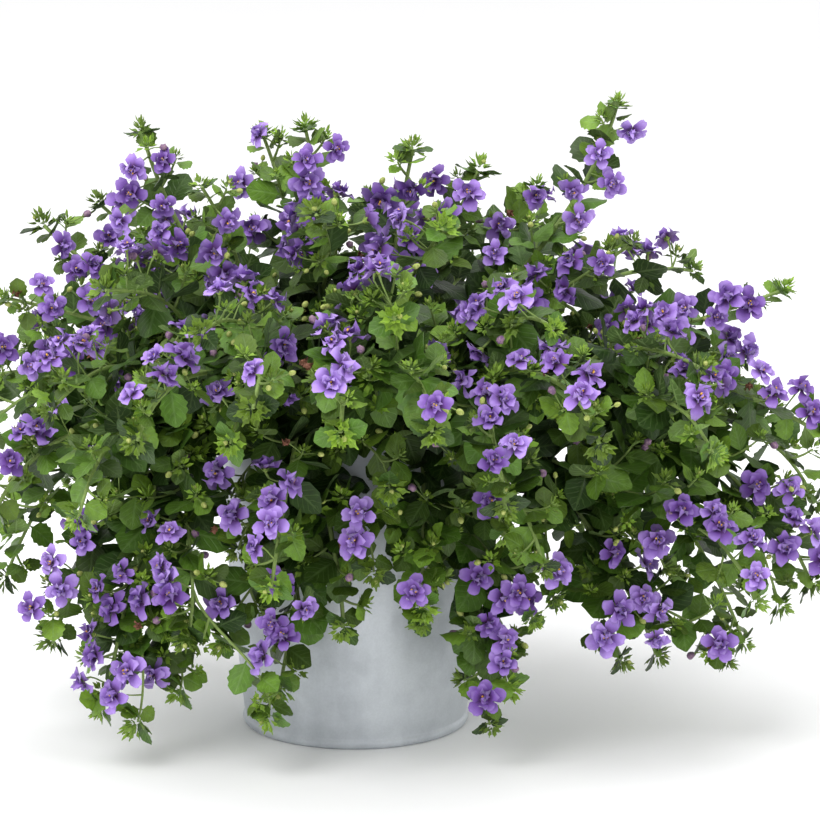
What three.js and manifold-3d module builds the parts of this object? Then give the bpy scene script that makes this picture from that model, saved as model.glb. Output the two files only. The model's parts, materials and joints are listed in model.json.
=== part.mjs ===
// A potted bacopa: a galvanised pot, its potting soil, leafy stems that mound over and trail down it,
// and sprays of double lilac blooms. Millimetres, +Z up. The origin is the middle of the pot's flat
// base, on the surface that it stands on; -Y is the front.
import * as THREE from "three";
import { mergeVertices } from "three/addons/utils/BufferGeometryUtils.js";
import Module from "manifold-3d";

const wasm = await Module();
wasm.setup();

// Driving dimensions of the pot and the soil.
const POT_HEIGHT = 172;
const POT_BASE_RADIUS = 60;
const POT_TOP_RADIUS = 77;
const POT_WALL = 1.1;
const POT_SIDES = 32;
const FOOT_BEAD = 1.4;
const FOOT_BEAD_HEIGHT = 5;
const RIM_ROLL = 1.5;
const SOIL_EDGE = 150;
const SOIL_MIDDLE = 155;
const ROOT_DEPTH = 15;
const SEAT_GAP = 0.3;
const SLIVERS = [0.02, 0.03, 0.013, 0.008, 0.005];
const FINEST = 0.002;

// Driving dimensions of the plant.
const HEART = [20, 0, 150];
const SHOOT_KINDS = {
  main: { radius: 2.1, steps: 8, taper: 0.5 },
  fork: { radius: 1.1, steps: 5, taper: 0.9 },
  trailer: { radius: 1.1, steps: 5, taper: 0.9 },
};
const FORK_SPREAD = 0.5;
const FORK_PLACES = [0.2, 0.34, 0.48];
const SHOOT_SPACING = 5.5;
const STALK_RADIUS = 0.75;
const BLOOM_RADIUS = 10.5;
const BLOOM_BACK = 2.2;
const BLOOM_STAND_OFF = 19;
const BLOOM_SPACING = 15;
const BLOOM_FAN = 14;
const BLOOM_STALKED = 2;
const SPRAY_START = 14;
const LEAF_LENGTH = 19;
const LEAF_PAIR_PITCH = 13;
const LEAF_PAIR_STRIDE = 15;
const ROSETTE_RADIUS = 8.5;
const SPRIG_PLACE = 0.5;
const SPRIG_LENGTH = 15;
const SPRIG_SUNK = 1.5;

// Each stem's place in the soil, as a radius and an azimuth, and its shoot tips: x, y, z and the number
// of blooms that the shoot carries below its tip.
const STEMS = {
  tall_right: { root: [16, 20], tips: [[139, 5, 335, 5], [146, -25, 266, 5], [98, 48, 285, 0]] },
  top_centre: { root: [8, 250], tips: [[31, -12, 314, 5], [66, 18, 298, 5], [46, -88, 284, 5]] },
  top_left: { root: [18, 150], tips: [[-26, 8, 322, 5], [-50, 52, 312, 0], [-18, -92, 292, 5]] },
  upper_left: { root: [24, 205], tips: [[-112, -2, 322, 5], [-78, -52, 300, 5], [-138, 42, 276, 0]] },
  left_upper: { root: [32, 172], tips: [[-166, 10, 270, 5], [-182, -32, 238, 5], [-124, -108, 256, 5]] },
  left: { root: [45, 186], tips: [[-198, -2, 190, 5], [-206, 42, 146, 0], [-152, -118, 196, 5]] },
  left_lower: { root: [46, 203], tips: [[-187, -60, 130, 5], [-187, -22, 84, 0], [-137, -138, 146, 0]] },
  bottom_left: { root: [46, 221], tips: [[-158, -62, 62, 5], [-131, -92, 32, 5], [-84, -118, 78, 5]] },
  front_left: { root: [30, 236], tips: [[-104, -178, 194, 5], [-72, -168, 246, 5], [-46, -205, 216, 0]] },
  front_centre: { root: [26, 272], tips: [[-4, -205, 204, 5], [22, -186, 256, 5], [40, -212, 206, 0]] },
  front_trail: { root: [47, 258], tips: [[-5, -108, 80, 0], [-38, -98, 44, 5], [-40, -150, 112, 5]] },
  front_right: { root: [32, 306], tips: [[122, -176, 192, 5], [100, -158, 246, 5], [76, -182, 162, 5]] },
  front_low: { root: [47, 288], tips: [[80, -78, 40, 5], [96, -146, 122, 0], [36, -114, 92, 0]] },
  right_lower: { root: [47, 326], tips: [[160, -52, 50, 5], [210, -6, 44, 0], [208, -90, 90, 5]] },
  right: { root: [47, 350], tips: [[243, -30, 84, 5], [250, 24, 114, 0], [182, -126, 176, 5]] },
  right_upper: { root: [30, 338], tips: [[249, -12, 160, 5], [228, 2, 236, 5], [176, -106, 216, 5]] },
  back_right: { root: [40, 38], tips: [[188, 108, 228, 5], [212, 104, 150, 0], [166, 138, 92, 0]] },
  back: {
    root: [36, 84],
    tips: [[64, 196, 192, 5], [112, 172, 240, 0], [92, 176, 110, 0], [0, 184, 248, 5]],
  },
  back_left: { root: [40, 128], tips: [[-118, 146, 226, 5], [-150, 124, 158, 0], [-108, 150, 92, 0]] },
};

// The trailers hang down behind the pot: the stem, the share of its length where each one leaves, its tip.
const TRAILERS = [
  ["back_left", 0.62, [-160, 96, 110]],
  ["back_left", 0.56, [-60, 128, 96]],
  ["back_left", 0.5, [-100, 90, 60]],
  ["back", 0.68, [-30, 176, 170]],
  ["back", 0.62, [10, 130, 120]],
  ["back", 0.56, [70, 120, 70]],
  ["back_right", 0.62, [150, 150, 150]],
  ["back_right", 0.56, [130, 90, 66]],
];

const zinc = new THREE.MeshStandardMaterial({ color: 0xaab2b9, roughness: 0.5, metalness: 0.7 });
const earth = new THREE.MeshStandardMaterial({ color: 0x35271c, roughness: 0.95, metalness: 0 });
const foliage = new THREE.MeshStandardMaterial({ color: 0x41702a, roughness: 0.6, metalness: 0 });
const petals = new THREE.MeshStandardMaterial({ color: 0x9068cf, roughness: 0.55, metalness: 0 });

const vector = (x, y, z) => new THREE.Vector3(x, y, z);
const UP = vector(0, 0, 1);
const { degToRad, clamp, smoothstep } = THREE.MathUtils;

// One repeatable number from 0 to 1 for each set of three whole numbers.
function draw(a, b, c) {
  let h = Math.imul(a + 17, 374761393) ^ Math.imul(b + 29, 668265263) ^ Math.imul(c + 41, 1274126177);
  h = Math.imul(h ^ (h >>> 15), 739982445);
  h = Math.imul(h ^ (h >>> 13), 1103515245);
  return ((h ^ (h >>> 16)) >>> 0) / 4294967296;
}

// The sum of vectors, each times its share.
function mix(...terms) {
  const sum = vector(0, 0, 0);
  for (const [part, share] of terms) sum.addScaledVector(part, share);
  return sum;
}

// The direction square to an axis that lies nearest to a vector.
const squareTo = (axis, v) => mix([v, 1], [axis, -v.dot(axis)]).normalize();
const turned = (v, axis, angle) => v.clone().applyAxisAngle(axis, angle);
const wallRadius = (z) => POT_BASE_RADIUS + ((POT_TOP_RADIUS - POT_BASE_RADIUS) * z) / POT_HEIGHT;

// A closed three.js geometry as a solid that can be cut and joined, its corners merged where they meet.
function solidOf(geometry, reach = 1e-4) {
  const bare = geometry.clone();
  bare.deleteAttribute("normal");
  bare.deleteAttribute("uv");
  const merged = mergeVertices(bare, reach);
  const vertProperties = new Float32Array(merged.attributes.position.array);
  const triangles = [];
  for (let i = 0; i < merged.index.count; i += 3) {
    const corners = [0, 1, 2].map((k) => merged.index.getX(i + k));
    if (new Set(corners).size === 3) triangles.push(...corners);
  }
  const triVerts = new Uint32Array(triangles);
  return new wasm.Manifold(new wasm.Mesh({ numProp: 3, vertProperties, triVerts }));
}

function geometryOf(solid) {
  const { vertProperties, triVerts } = solid.getMesh();
  const geometry = new THREE.BufferGeometry();
  geometry.setAttribute("position", new THREE.BufferAttribute(new Float32Array(vertProperties), 3));
  geometry.setIndex(new THREE.BufferAttribute(new Uint32Array(triVerts), 1));
  return geometry;
}

function meshOf(name, solid, material) {
  const geometry = geometryOf(solid);
  geometry.computeVertexNormals();
  const mesh = new THREE.Mesh(geometry, material);
  mesh.name = name;
  return mesh;
}

const bySize = (a, b) => b.volume() - a.volume();

// True where no two corners of a solid lie in one place.
function isCrisp(solid) {
  const { vertProperties } = solid.getMesh();
  const seen = new Set();
  for (let i = 0; i < vertProperties.length; i += 3) {
    const place = [0, 1, 2].map((k) => Math.round(vertProperties[i + k] / FINEST)).join();
    if (seen.has(place)) return false;
    seen.add(place);
  }
  return true;
}

// Solids that grow together as one body, without the slivers that a join leaves.
function joined(solids) {
  const whole = wasm.Manifold.union(solids).decompose().sort(bySize)[0];
  for (const reach of SLIVERS) {
    for (const body of [whole.simplify(2 * reach), whole]) {
      try {
        const welded = solidOf(geometryOf(body), reach).decompose().sort(bySize)[0];
        if (isCrisp(welded)) return welded;
      } catch {
        continue;
      }
    }
  }
  return whole;
}

// A pointed lens: an outline, with one apex in front of it and one behind.
function lens(outline, front, back) {
  const index = [];
  outline.forEach((_, i) => {
    const here = i + 2;
    const next = ((i + 1) % outline.length) + 2;
    index.push(0, here, next, 1, next, here);
  });
  const geometry = new THREE.BufferGeometry();
  geometry.setAttribute("position", new THREE.Float32BufferAttribute([front, back, ...outline].flat(), 3));
  geometry.setIndex(index);
  return solidOf(geometry);
}

// A toothed leaf of length 1 along +X, with its face towards +Z and its stalk at the origin.
function makeLeaf() {
  const edge = [[0.36, 0.39], [0.5, 0.29], [0.68, 0.33]];
  const droop = (x, y) => -0.3 * y * y - 0.1 * x * x;
  const right = edge.map(([x, y]) => [x, -y, droop(x, y)]);
  const left = edge.map(([x, y]) => [x, y, droop(x, y)]).reverse();
  const outline = [[0.02, 0, 0], ...right, [1, 0, droop(1, 0)], ...left];
  return lens(outline, [0.4, 0, 0.035], [0.4, 0, -0.06]);
}

// A double bloom of radius 1 facing +Z: five outer petals round a raised middle.
function makeBloom() {
  const outline = [];
  for (let petal = 0; petal < 5; petal++) {
    for (const [turn, radius, height] of [[0, 1.06, 0.06], [36, 0.72, -0.04]]) {
      const angle = degToRad(72 * petal + turn);
      outline.push([radius * Math.cos(angle), radius * Math.sin(angle), height]);
    }
  }
  return lens(outline, [0, 0, 0.2], [0, 0, -BLOOM_BACK / BLOOM_RADIUS]);
}

// The rosette of young bracts at a shoot's tip, of radius 1, opening towards +Z.
function makeRosette() {
  const outline = [];
  for (let bract = 0; bract < 4; bract++) {
    for (const [turn, radius, height] of [[0, 1, 0.4], [45, 0.42, 0.05]]) {
      const angle = degToRad(90 * bract + turn);
      outline.push([radius * Math.cos(angle), radius * Math.sin(angle), height]);
    }
  }
  return lens(outline, [0, 0, 0.35], [0, 0, -0.4]);
}

const shapes = { leaf: makeLeaf(), bloom: makeBloom(), rosette: makeRosette() };

// A unit shape turned so that its +Z is `face` and its +X is nearest `along`, scaled and placed.
function placed(shape, origin, face, along, size) {
  const z = face.clone().normalize();
  const x = squareTo(z, along);
  const y = z.clone().cross(x);
  const place = new THREE.Matrix4().makeBasis(x, y, z).scale(vector(size, size, size)).setPosition(origin);
  return shape.transform(place.elements);
}

// A slender rod with a few flat sides along a curve, as thick at its end as the taper says.
function rod(curve, radius, steps, sides, taper = 1) {
  const section = new THREE.Shape();
  for (let side = 0; side < sides; side++) {
    const angle = (2 * Math.PI * side) / sides;
    const draws = side ? "lineTo" : "moveTo";
    section[draws](radius * Math.cos(angle), radius * Math.sin(angle));
  }
  const geometry = new THREE.ExtrudeGeometry(section, { steps, extrudePath: curve, bevelEnabled: false });
  const knots = curve.getSpacedPoints(steps);
  const corners = geometry.attributes.position;
  const corner = new THREE.Vector3();
  for (let i = 0; i < corners.count; i++) {
    corner.fromBufferAttribute(corners, i);
    const gaps = knots.map((knot) => knot.distanceToSquared(corner));
    const ring = gaps.indexOf(Math.min(...gaps));
    corner.sub(knots[ring]).multiplyScalar(1 + ((taper - 1) * ring) / steps).add(knots[ring]);
    corners.setXYZ(i, corner.x, corner.y, corner.z);
  }
  return solidOf(geometry);
}

// True where a point comes near the pot's wall, the soil or the ground.
function nearPot(p, margin, isRoot = false) {
  const r = Math.hypot(p.x, p.y);
  if (p.z < margin) return true;
  if (p.z < SOIL_MIDDLE + 1 && r < wallRadius(p.z) && !isRoot) return true;
  return p.z < POT_HEIGHT + margin && Math.abs(r - wallRadius(p.z)) < margin + RIM_ROLL;
}

function leastGap(points, others) {
  let least = Infinity;
  for (const p of points) for (const q of others) least = Math.min(least, p.distanceToSquared(q));
  return Math.sqrt(least);
}

// The direction in which a shoot reaches its tip: up at the top of the plant, drooping on its face.
function arrival(tip) {
  const away = vector(tip.x - HEART[0], tip.y - HEART[1], 0).normalize();
  const lift = clamp((tip.z - 205 - 0.4 * Math.abs(tip.y)) / 100, -1, 1.1);
  return mix([away, 1 - 0.65 * Math.abs(lift)], [UP, lift]).normalize();
}

const shoots = [];

// Points every few millimetres along the straight stretches between knots.
function straightened(knots) {
  const points = [knots[0]];
  for (let i = 1; i < knots.length; i++) {
    for (let part = 1; part <= 10; part++) points.push(knots[i - 1].clone().lerp(knots[i], part / 10));
  }
  return points;
}

// Of the ways to arch from a start to a tip, the first that clears the pot and the other stems.
function archedShoot(stem, kind, start, heading, tip) {
  const { steps } = SHOOT_KINDS[kind];
  const isMain = kind === "main";
  const own = isMain ? 1.6 * ROOT_DEPTH : 12;
  const span = start.distanceTo(tip);
  const sideways = UP.clone().cross(vector(tip.x - start.x, tip.y - start.y, 0)).normalize();
  const others = shoots.filter((shoot) => shoot.stem !== stem).flatMap((shoot) => shoot.samples);
  const arrive = mix([tip, 1], [arrival(tip), -0.36 * span]);
  let best = { gap: -1 };
  for (let rise = 0; rise <= 168; rise += 12) {
    for (const swing of [0, 14, -14, 28, -28, 42, -42]) {
      const leave = mix([start, 1], [heading, 0.3 * span], [UP, rise], [sideways, swing]);
      const curve = new THREE.CubicBezierCurve3(start, leave, arrive, tip);
      const knots = curve.getSpacedPoints(steps);
      const samples = straightened(knots);
      const free = samples.filter((p) => p.distanceTo(start) > own);
      const inPot = samples.some((p) => nearPot(p, 3, isMain && p.distanceTo(start) < own));
      const gap = inPot ? -0.5 : leastGap(free, others);
      if (gap > best.gap) best = { gap, curve, knots, samples };
      if (gap > SHOOT_SPACING) return best;
    }
  }
  return best;
}

function addShoot(stem, kind, arch, blooms) {
  const { curve, knots, samples } = arch;
  const { radius, steps, taper } = SHOOT_KINDS[kind];
  const facing = curve.v3.y < 60 ? -1 : 1;
  const shoot = { stem, kind, curve, samples, radius, steps, taper, knots, blooms, facing };
  shoot.length = curve.getLength();
  shoot.number = shoots.length;
  shoots.push(shoot);
  return shoot;
}

function rootOf([radius, azimuth]) {
  const angle = degToRad(azimuth);
  return vector(radius * Math.cos(angle), radius * Math.sin(angle), SOIL_MIDDLE - ROOT_DEPTH);
}

function addFork(main, kind, share, tip, blooms) {
  const { place, tangent } = along(main, share * main.length);
  const parting = mix([tangent, 1], [tip.clone().sub(place).normalize(), FORK_SPREAD]).normalize();
  addShoot(main.stem, kind, archedShoot(main.stem, kind, place, parting, tip), blooms);
}

// A stem rises out of the soil and arches over to its first tip. Its forks leave it for the others, and the
// trailers come last.
function growShoots() {
  const mains = new Map();
  for (const [stem, { root, tips }] of Object.entries(STEMS)) {
    const start = rootOf(root);
    const points = tips.map(([x, y, z]) => vector(x, y, z));
    const lean = vector(points[0].x - start.x, points[0].y - start.y, 0).normalize();
    const heading = mix([UP, 1], [lean, 0.35]);
    const main = addShoot(stem, "main", archedShoot(stem, "main", start, heading, points[0]), tips[0][3]);
    points.slice(1).forEach((tip, i) => addFork(main, "fork", FORK_PLACES[i], tip, tips[i + 1][3]));
    mains.set(stem, main);
  }
  for (const [stem, share, tip] of TRAILERS) addFork(mains.get(stem), "trailer", share, vector(...tip), 0);
}

// The place on a shoot's straight-sided rod, and its direction, at a distance from its start.
function along(shoot, distance) {
  const share = clamp(distance / shoot.length, 0, 1);
  const at = share * shoot.steps;
  const knot = Math.min(Math.floor(at), shoot.steps - 1);
  const place = shoot.knots[knot].clone().lerp(shoot.knots[knot + 1], at - knot);
  return { place, tangent: shoot.curve.getTangentAt(share) };
}

// Away from the plant's heart and to the light, square to the shoot.
function outwards(shoot, place, tangent) {
  const radial = place.clone().sub(vector(...HEART)).normalize();
  return squareTo(tangent, mix([radial, 1], [vector(0, shoot.facing, 0), 0.75], [UP, 0.2]));
}

// The blooms of one shoot stand off it to alternate sides, with a petal of each over the next.
function sprayAt(shoot, slide, roll, push) {
  const blooms = [];
  let at = shoot.length - SPRAY_START - slide;
  while (blooms.length < shoot.blooms) {
    const i = blooms.length;
    const { place, tangent } = along(shoot, at);
    const side = i % 2 ? -1 : 1;
    const face = turned(outwards(shoot, place, tangent), tangent, degToRad(roll + side * BLOOM_FAN));
    const centre = mix([place, 1], [face, BLOOM_STAND_OFF + push]);
    at -= 0.5;
    if (i && centre.distanceTo(blooms[i - 1].centre) < BLOOM_SPACING) continue;
    blooms.push({ foot: place, centre, face, size: BLOOM_RADIUS * (0.95 + 0.12 * draw(shoot.number, i, 5)) });
  }
  blooms.forEach((bloom, i) => {
    const next = [blooms[i - 1], blooms[i + 1]].filter(Boolean);
    const towards = next.map(({ centre }) => [squareTo(bloom.face, centre.clone().sub(bloom.centre)), 1]);
    const between = squareTo(bloom.face, mix(...towards));
    bloom.spin = next.length > 1 ? turned(between, bloom.face, degToRad(36)) : between;
  });
  return blooms;
}

// True where a point lies in the slab that a bloom takes up.
function inBloom(point, bloom, margin, depth) {
  const offset = point.clone().sub(bloom.centre);
  const height = offset.dot(bloom.face);
  const reach = bloom.size + margin;
  return Math.abs(height) < depth && offset.lengthSq() - height * height < reach * reach;
}

function discPoints(bloom) {
  const points = [bloom.centre];
  for (let i = 0; i < 10; i++) {
    const arm = turned(bloom.spin, bloom.face, degToRad(36 * i));
    points.push(mix([bloom.centre, 1], [arm, bloom.size]), mix([bloom.centre, 1], [arm, 0.55 * bloom.size]));
  }
  return points;
}

const bloomsCross = (a, b) =>
  a.centre.distanceTo(b.centre) < a.size + b.size + 2 &&
  (discPoints(a).some((p) => inBloom(p, b, 1, 3)) || discPoints(b).some((p) => inBloom(p, a, 1, 3)));

// Each spray slides down its shoot, rolls about it or stands further off until it is clear.
function growSprays() {
  const stems = shoots.flatMap(({ samples }) => samples);
  const sprays = [];
  for (const shoot of shoots.filter(({ blooms }) => blooms)) {
    let found = null;
    for (const push of [0, 3, 6]) {
      for (const roll of [0, 15, -15, 30, -30, 45, -45, 60, -60]) {
        for (const slide of [0, 5, 10, 15, 20]) {
          if (found) continue;
          const blooms = sprayAt(shoot, slide, roll, push);
          const blocked = blooms.some((bloom) =>
            discPoints(bloom).some((p) => nearPot(p, 3)) ||
            stems.some((p) => inBloom(p, bloom, 2, 3.5)) ||
            sprays.some((spray) => spray.blooms.some((other) => bloomsCross(bloom, other))));
          if (!blocked) found = { shoot, blooms };
        }
      }
    }
    if (found) sprays.push(found);
  }
  return sprays;
}

// Places of the leaf pairs up to a shoot's tip, each pair a quarter turn from the next.
function leafPlaces(shoot) {
  const start = shoot.kind === "main" ? 46 : 20;
  const places = [];
  for (let pair = 0, at = shoot.length - 12; at > start; pair++, at -= LEAF_PAIR_PITCH) {
    const { place, tangent } = along(shoot, at);
    const out = outwards(shoot, place, tangent);
    const young = 1 - 0.35 * smoothstep(at, shoot.length - 45, shoot.length);
    for (let leaf = 0; leaf < 2; leaf++) {
      const quarter = 90 * (pair % 2) + 180 * leaf + 45 + 30 * (draw(shoot.number, pair, leaf + 7) - 0.5);
      const radial = turned(out, tangent, degToRad(quarter));
      const axis = mix([radial, 0.86], [tangent, 0.42], [UP, 0.1]).normalize();
      const face = squareTo(axis, mix([UP, 0.75], [out, 0.6], [tangent, 0.35]));
      const size = LEAF_LENGTH * (0.84 + 0.3 * draw(shoot.number, pair, leaf + 9)) * young;
      places.push({ pair, leaf, place, axis, face, size });
    }
  }
  return places;
}

// Solids that are in place already, with their boxes, so that a new one can keep clear of them.
const taken = [];

function isClear(solid, mayTouch) {
  const box = solid.boundingBox();
  const begins = (a, b, i) => a.min[i] - SEAT_GAP < b.max[i];
  const near = (a, b) => [0, 1, 2].every((i) => begins(a, b, i) && begins(b, a, i));
  return !taken.some((piece) =>
    !mayTouch(piece) && near(box, piece.box) && piece.solid.minGap(solid, SEAT_GAP) < 0.9 * SEAT_GAP);
}

function take(solid, node, grows) {
  taken.push({ solid, node, grows, box: solid.boundingBox() });
  return solid;
}

function lathe(profile) {
  const points = profile.map(([r, z]) => new THREE.Vector2(r, z));
  return solidOf(new THREE.LatheGeometry(points, POT_SIDES).rotateX(Math.PI / 2));
}

function makePot() {
  const inner = (z) => wallRadius(z) - POT_WALL;
  return lathe([
    [0, 0],
    [POT_BASE_RADIUS, 0],
    [POT_BASE_RADIUS + FOOT_BEAD, 0.25 * FOOT_BEAD_HEIGHT],
    [POT_BASE_RADIUS + FOOT_BEAD, 0.75 * FOOT_BEAD_HEIGHT],
    [wallRadius(FOOT_BEAD_HEIGHT), FOOT_BEAD_HEIGHT],
    [wallRadius(POT_HEIGHT - 2 * RIM_ROLL), POT_HEIGHT - 2 * RIM_ROLL],
    [POT_TOP_RADIUS + RIM_ROLL, POT_HEIGHT - 1.5 * RIM_ROLL],
    [POT_TOP_RADIUS + RIM_ROLL, POT_HEIGHT - 0.5 * RIM_ROLL],
    [POT_TOP_RADIUS, POT_HEIGHT],
    [inner(POT_HEIGHT), POT_HEIGHT],
    [inner(POT_WALL), POT_WALL],
    [0, POT_WALL],
  ]);
}

// The soil fills the pot and is heaped a little, with a plain hole for each stem.
function makeSoil() {
  const floor = POT_WALL + SEAT_GAP;
  const fill = (z) => wallRadius(z) - POT_WALL - SEAT_GAP;
  const bulk = lathe([[0, floor], [fill(floor), floor], [fill(SOIL_EDGE), SOIL_EDGE], [0, SOIL_MIDDLE]]);
  const holes = shoots.filter(({ kind }) => kind === "main").map(({ knots: [low, high], radius }) => {
    const lean = high.clone().sub(low).normalize();
    const bottom = mix([low, 1], [lean, -4 * SEAT_GAP]);
    const mouth = mix([low, 1], [lean, 2 * ROOT_DEPTH]);
    return rod(new THREE.LineCurve3(bottom, mouth), (radius + 3 * SEAT_GAP) / Math.cos(Math.PI / 5), 1, 5);
  });
  return bulk.subtract(wasm.Manifold.union(holes));
}

// A slim three-sided spike from inside a shoot to the head that it carries.
function makeSpike(foot, head) {
  const axis = head.clone().sub(foot).normalize();
  const arm = squareTo(axis, UP).multiplyScalar(STALK_RADIUS);
  const base = [0, 120, 240].map((angle) => mix([foot, 1], [turned(arm, axis, degToRad(angle)), 1]));
  return lens(base.map((p) => p.toArray()), head.toArray(), mix([foot, 1], [axis, -0.2]).toArray());
}

// A bloom's stalk ends just behind the bloom.
function makeStalk({ foot, centre, face, size }) {
  return makeSpike(foot, mix([centre, 1], [face, (-size * BLOOM_BACK) / BLOOM_RADIUS - SEAT_GAP]));
}

// A rosette beside the end of its stem, so that the stem runs up into one of its bracts.
function makeRosetteAt(place, axis, turn, radius) {
  const first = turned(squareTo(axis, UP), axis, degToRad(turn));
  const centre = mix([place, 1], [turned(first, axis, degToRad(22.5)), 1.9], [axis, 0.6]);
  return placed(shapes.rosette, centre, axis, first, radius);
}

// A short side sprig with a rosette at its end stands off each fork to the light.
function sprigOf(shoot) {
  const { place, tangent } = along(shoot, SPRIG_PLACE * shoot.length);
  const swing = degToRad(25 + 40 * draw(shoot.number, 0, 12));
  const out = turned(outwards(shoot, place, tangent), tangent, swing);
  const axis = mix([out, 0.85], [tangent, 0.5]).normalize();
  return { foot: place, axis, head: mix([place, 1], [axis, SPRIG_LENGTH]) };
}

growShoots();
const sprays = growSprays();
const plant = new THREE.Group();
plant.add(meshOf("pot", take(makePot(), "pot"), zinc));
plant.add(meshOf("soil", take(makeSoil(), "soil"), earth));

const greens = new Map(Object.keys(STEMS).map((stem) => [stem, []]));
const grow = (stem, solid, grows) => greens.get(stem).push(take(solid, stem, grows));
const ownRods = (shoot) => ({ node, grows }) => node === shoot.stem && grows === "rod";
for (const { stem, curve, radius, steps, taper } of shoots) {
  grow(stem, rod(curve, radius, steps, 3, taper), "rod");
}

// The blooms of one spray overlap, so they are one body. The middle one's stalk carries them.
const sprayMeshes = sprays.map(({ blooms }, i) => {
  const name = `bloom_spray_${String(i + 1).padStart(2, "0")}`;
  const discs = blooms.map(({ centre, face, spin, size }) => placed(shapes.bloom, centre, face, spin, size));
  discs.forEach((disc) => take(disc, name, "bloom"));
  return meshOf(name, joined(discs), petals);
});
sprays.forEach(({ shoot, blooms }) => grow(shoot.stem, makeStalk(blooms[BLOOM_STALKED]), "stalk"));

// A rosette turns or shrinks until it is clear of all but its own stem.
function addRosette(shoot, place, axis, mayTouch) {
  for (const size of [1, 0.85, 0.7]) {
    for (const turn of [0, 15, 30, 45, 60, 75]) {
      const rosette = makeRosetteAt(place, axis, turn, size * ROSETTE_RADIUS);
      if (!isClear(rosette, mayTouch)) continue;
      grow(shoot.stem, rosette, "rosette");
      return true;
    }
  }
  return false;
}

for (const shoot of shoots) {
  const { place, tangent } = along(shoot, shoot.length);
  addRosette(shoot, place, tangent, ownRods(shoot));
}

for (const shoot of shoots.filter(({ kind }) => kind === "fork")) {
  const { foot, axis, head } = sprigOf(shoot);
  const spike = makeSpike(foot, head);
  if (!isClear(spike, ownRods(shoot))) continue;
  const seat = mix([head, 1], [axis, -SPRIG_SUNK]);
  if (addRosette(shoot, seat, axis, () => false)) grow(shoot.stem, spike, "sprig");
}

// A leaf twists on its stalk until it is clear of all but its twin and the shoot, or it is left out.
for (const shoot of shoots) {
  for (const { pair, place, axis, face, size } of leafPlaces(shoot)) {
    if (pair % LEAF_PAIR_STRIDE !== 1) continue;
    const twin = `leaf ${shoot.number} ${pair}`;
    const mayTouch = ({ node, grows }) => node === shoot.stem && (grows === "rod" || grows === twin);
    for (const twist of [0, 0.4, -0.4, 0.8, -0.8, 1.2, -1.2]) {
      const blade = placed(shapes.leaf, place, turned(face, axis, twist), axis, size);
      if (!isClear(blade, mayTouch)) continue;
      grow(shoot.stem, blade, twin);
      break;
    }
  }
}

for (const [stem, solids] of greens) plant.add(meshOf(`leafy_stem_${stem}`, joined(solids), foliage));
plant.add(...sprayMeshes);

export default plant;
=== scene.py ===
"""A potted bacopa in lilac bloom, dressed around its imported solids.

The plant grows here by the same rule as its solids, in millimetres, and every finished piece is in metres.
+Z is up and the front is towards -Y. The origin is the middle of the pot's flat base.
"""

from __future__ import annotations

import json
import logging
import math
from collections.abc import Callable, Iterator, Sequence
from dataclasses import dataclass, field
from enum import Enum

import bmesh
import bpy
import numpy as np
from mathutils import Matrix, Vector, noise

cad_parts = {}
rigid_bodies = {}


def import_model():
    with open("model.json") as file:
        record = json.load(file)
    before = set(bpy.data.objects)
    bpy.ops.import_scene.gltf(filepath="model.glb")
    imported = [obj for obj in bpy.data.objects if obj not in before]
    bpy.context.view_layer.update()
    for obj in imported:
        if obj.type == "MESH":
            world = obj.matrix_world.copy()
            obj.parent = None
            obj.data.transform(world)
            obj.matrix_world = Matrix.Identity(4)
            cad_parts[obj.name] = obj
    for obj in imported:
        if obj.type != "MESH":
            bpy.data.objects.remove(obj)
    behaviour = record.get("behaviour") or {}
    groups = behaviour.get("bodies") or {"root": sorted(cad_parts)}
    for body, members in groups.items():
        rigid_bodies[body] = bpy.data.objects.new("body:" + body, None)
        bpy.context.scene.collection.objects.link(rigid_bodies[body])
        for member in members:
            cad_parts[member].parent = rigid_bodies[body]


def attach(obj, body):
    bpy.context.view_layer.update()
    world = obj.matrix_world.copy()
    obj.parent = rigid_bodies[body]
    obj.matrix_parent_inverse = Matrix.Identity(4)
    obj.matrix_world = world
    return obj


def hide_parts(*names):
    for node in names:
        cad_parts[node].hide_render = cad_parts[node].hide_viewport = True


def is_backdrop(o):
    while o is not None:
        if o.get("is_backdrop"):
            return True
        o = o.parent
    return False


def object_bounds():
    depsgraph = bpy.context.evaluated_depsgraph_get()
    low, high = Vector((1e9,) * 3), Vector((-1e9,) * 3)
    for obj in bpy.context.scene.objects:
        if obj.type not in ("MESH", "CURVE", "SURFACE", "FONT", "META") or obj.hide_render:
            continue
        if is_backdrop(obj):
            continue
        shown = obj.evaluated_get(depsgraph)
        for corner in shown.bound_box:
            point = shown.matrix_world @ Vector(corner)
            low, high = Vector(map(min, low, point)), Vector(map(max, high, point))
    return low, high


log = logging.getLogger("bacopa")

MM = 0.001

# Sizes of the pot and the soil that the plant grows around, in millimetres.
POT_HEIGHT = 172.0
POT_BASE_RADIUS = 60.0
POT_TOP_RADIUS = 77.0
RIM_ROLL = 1.5
SOIL_MIDDLE = 155.0
ROOT_DEPTH = 15.0

# Sizes of the plant, in millimetres and degrees.
HEART = (20.0, 0.0, 150.0)
FORK_SPREAD = 0.5
FORK_PLACES = (0.2, 0.34, 0.48)
SHOOT_SPACING = 5.5
BLOOM_RADIUS = 10.5
BLOOM_STAND_OFF = 19.0
BLOOM_SPACING = 15.0
BLOOM_FAN = 14.0
BLOOM_TILT = 46.0
SPRAY_START = 14.0
HALF_PETAL = 36.0
LEAF_LENGTH = 19.0
GOLDEN_ANGLE = 137.5

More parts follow.
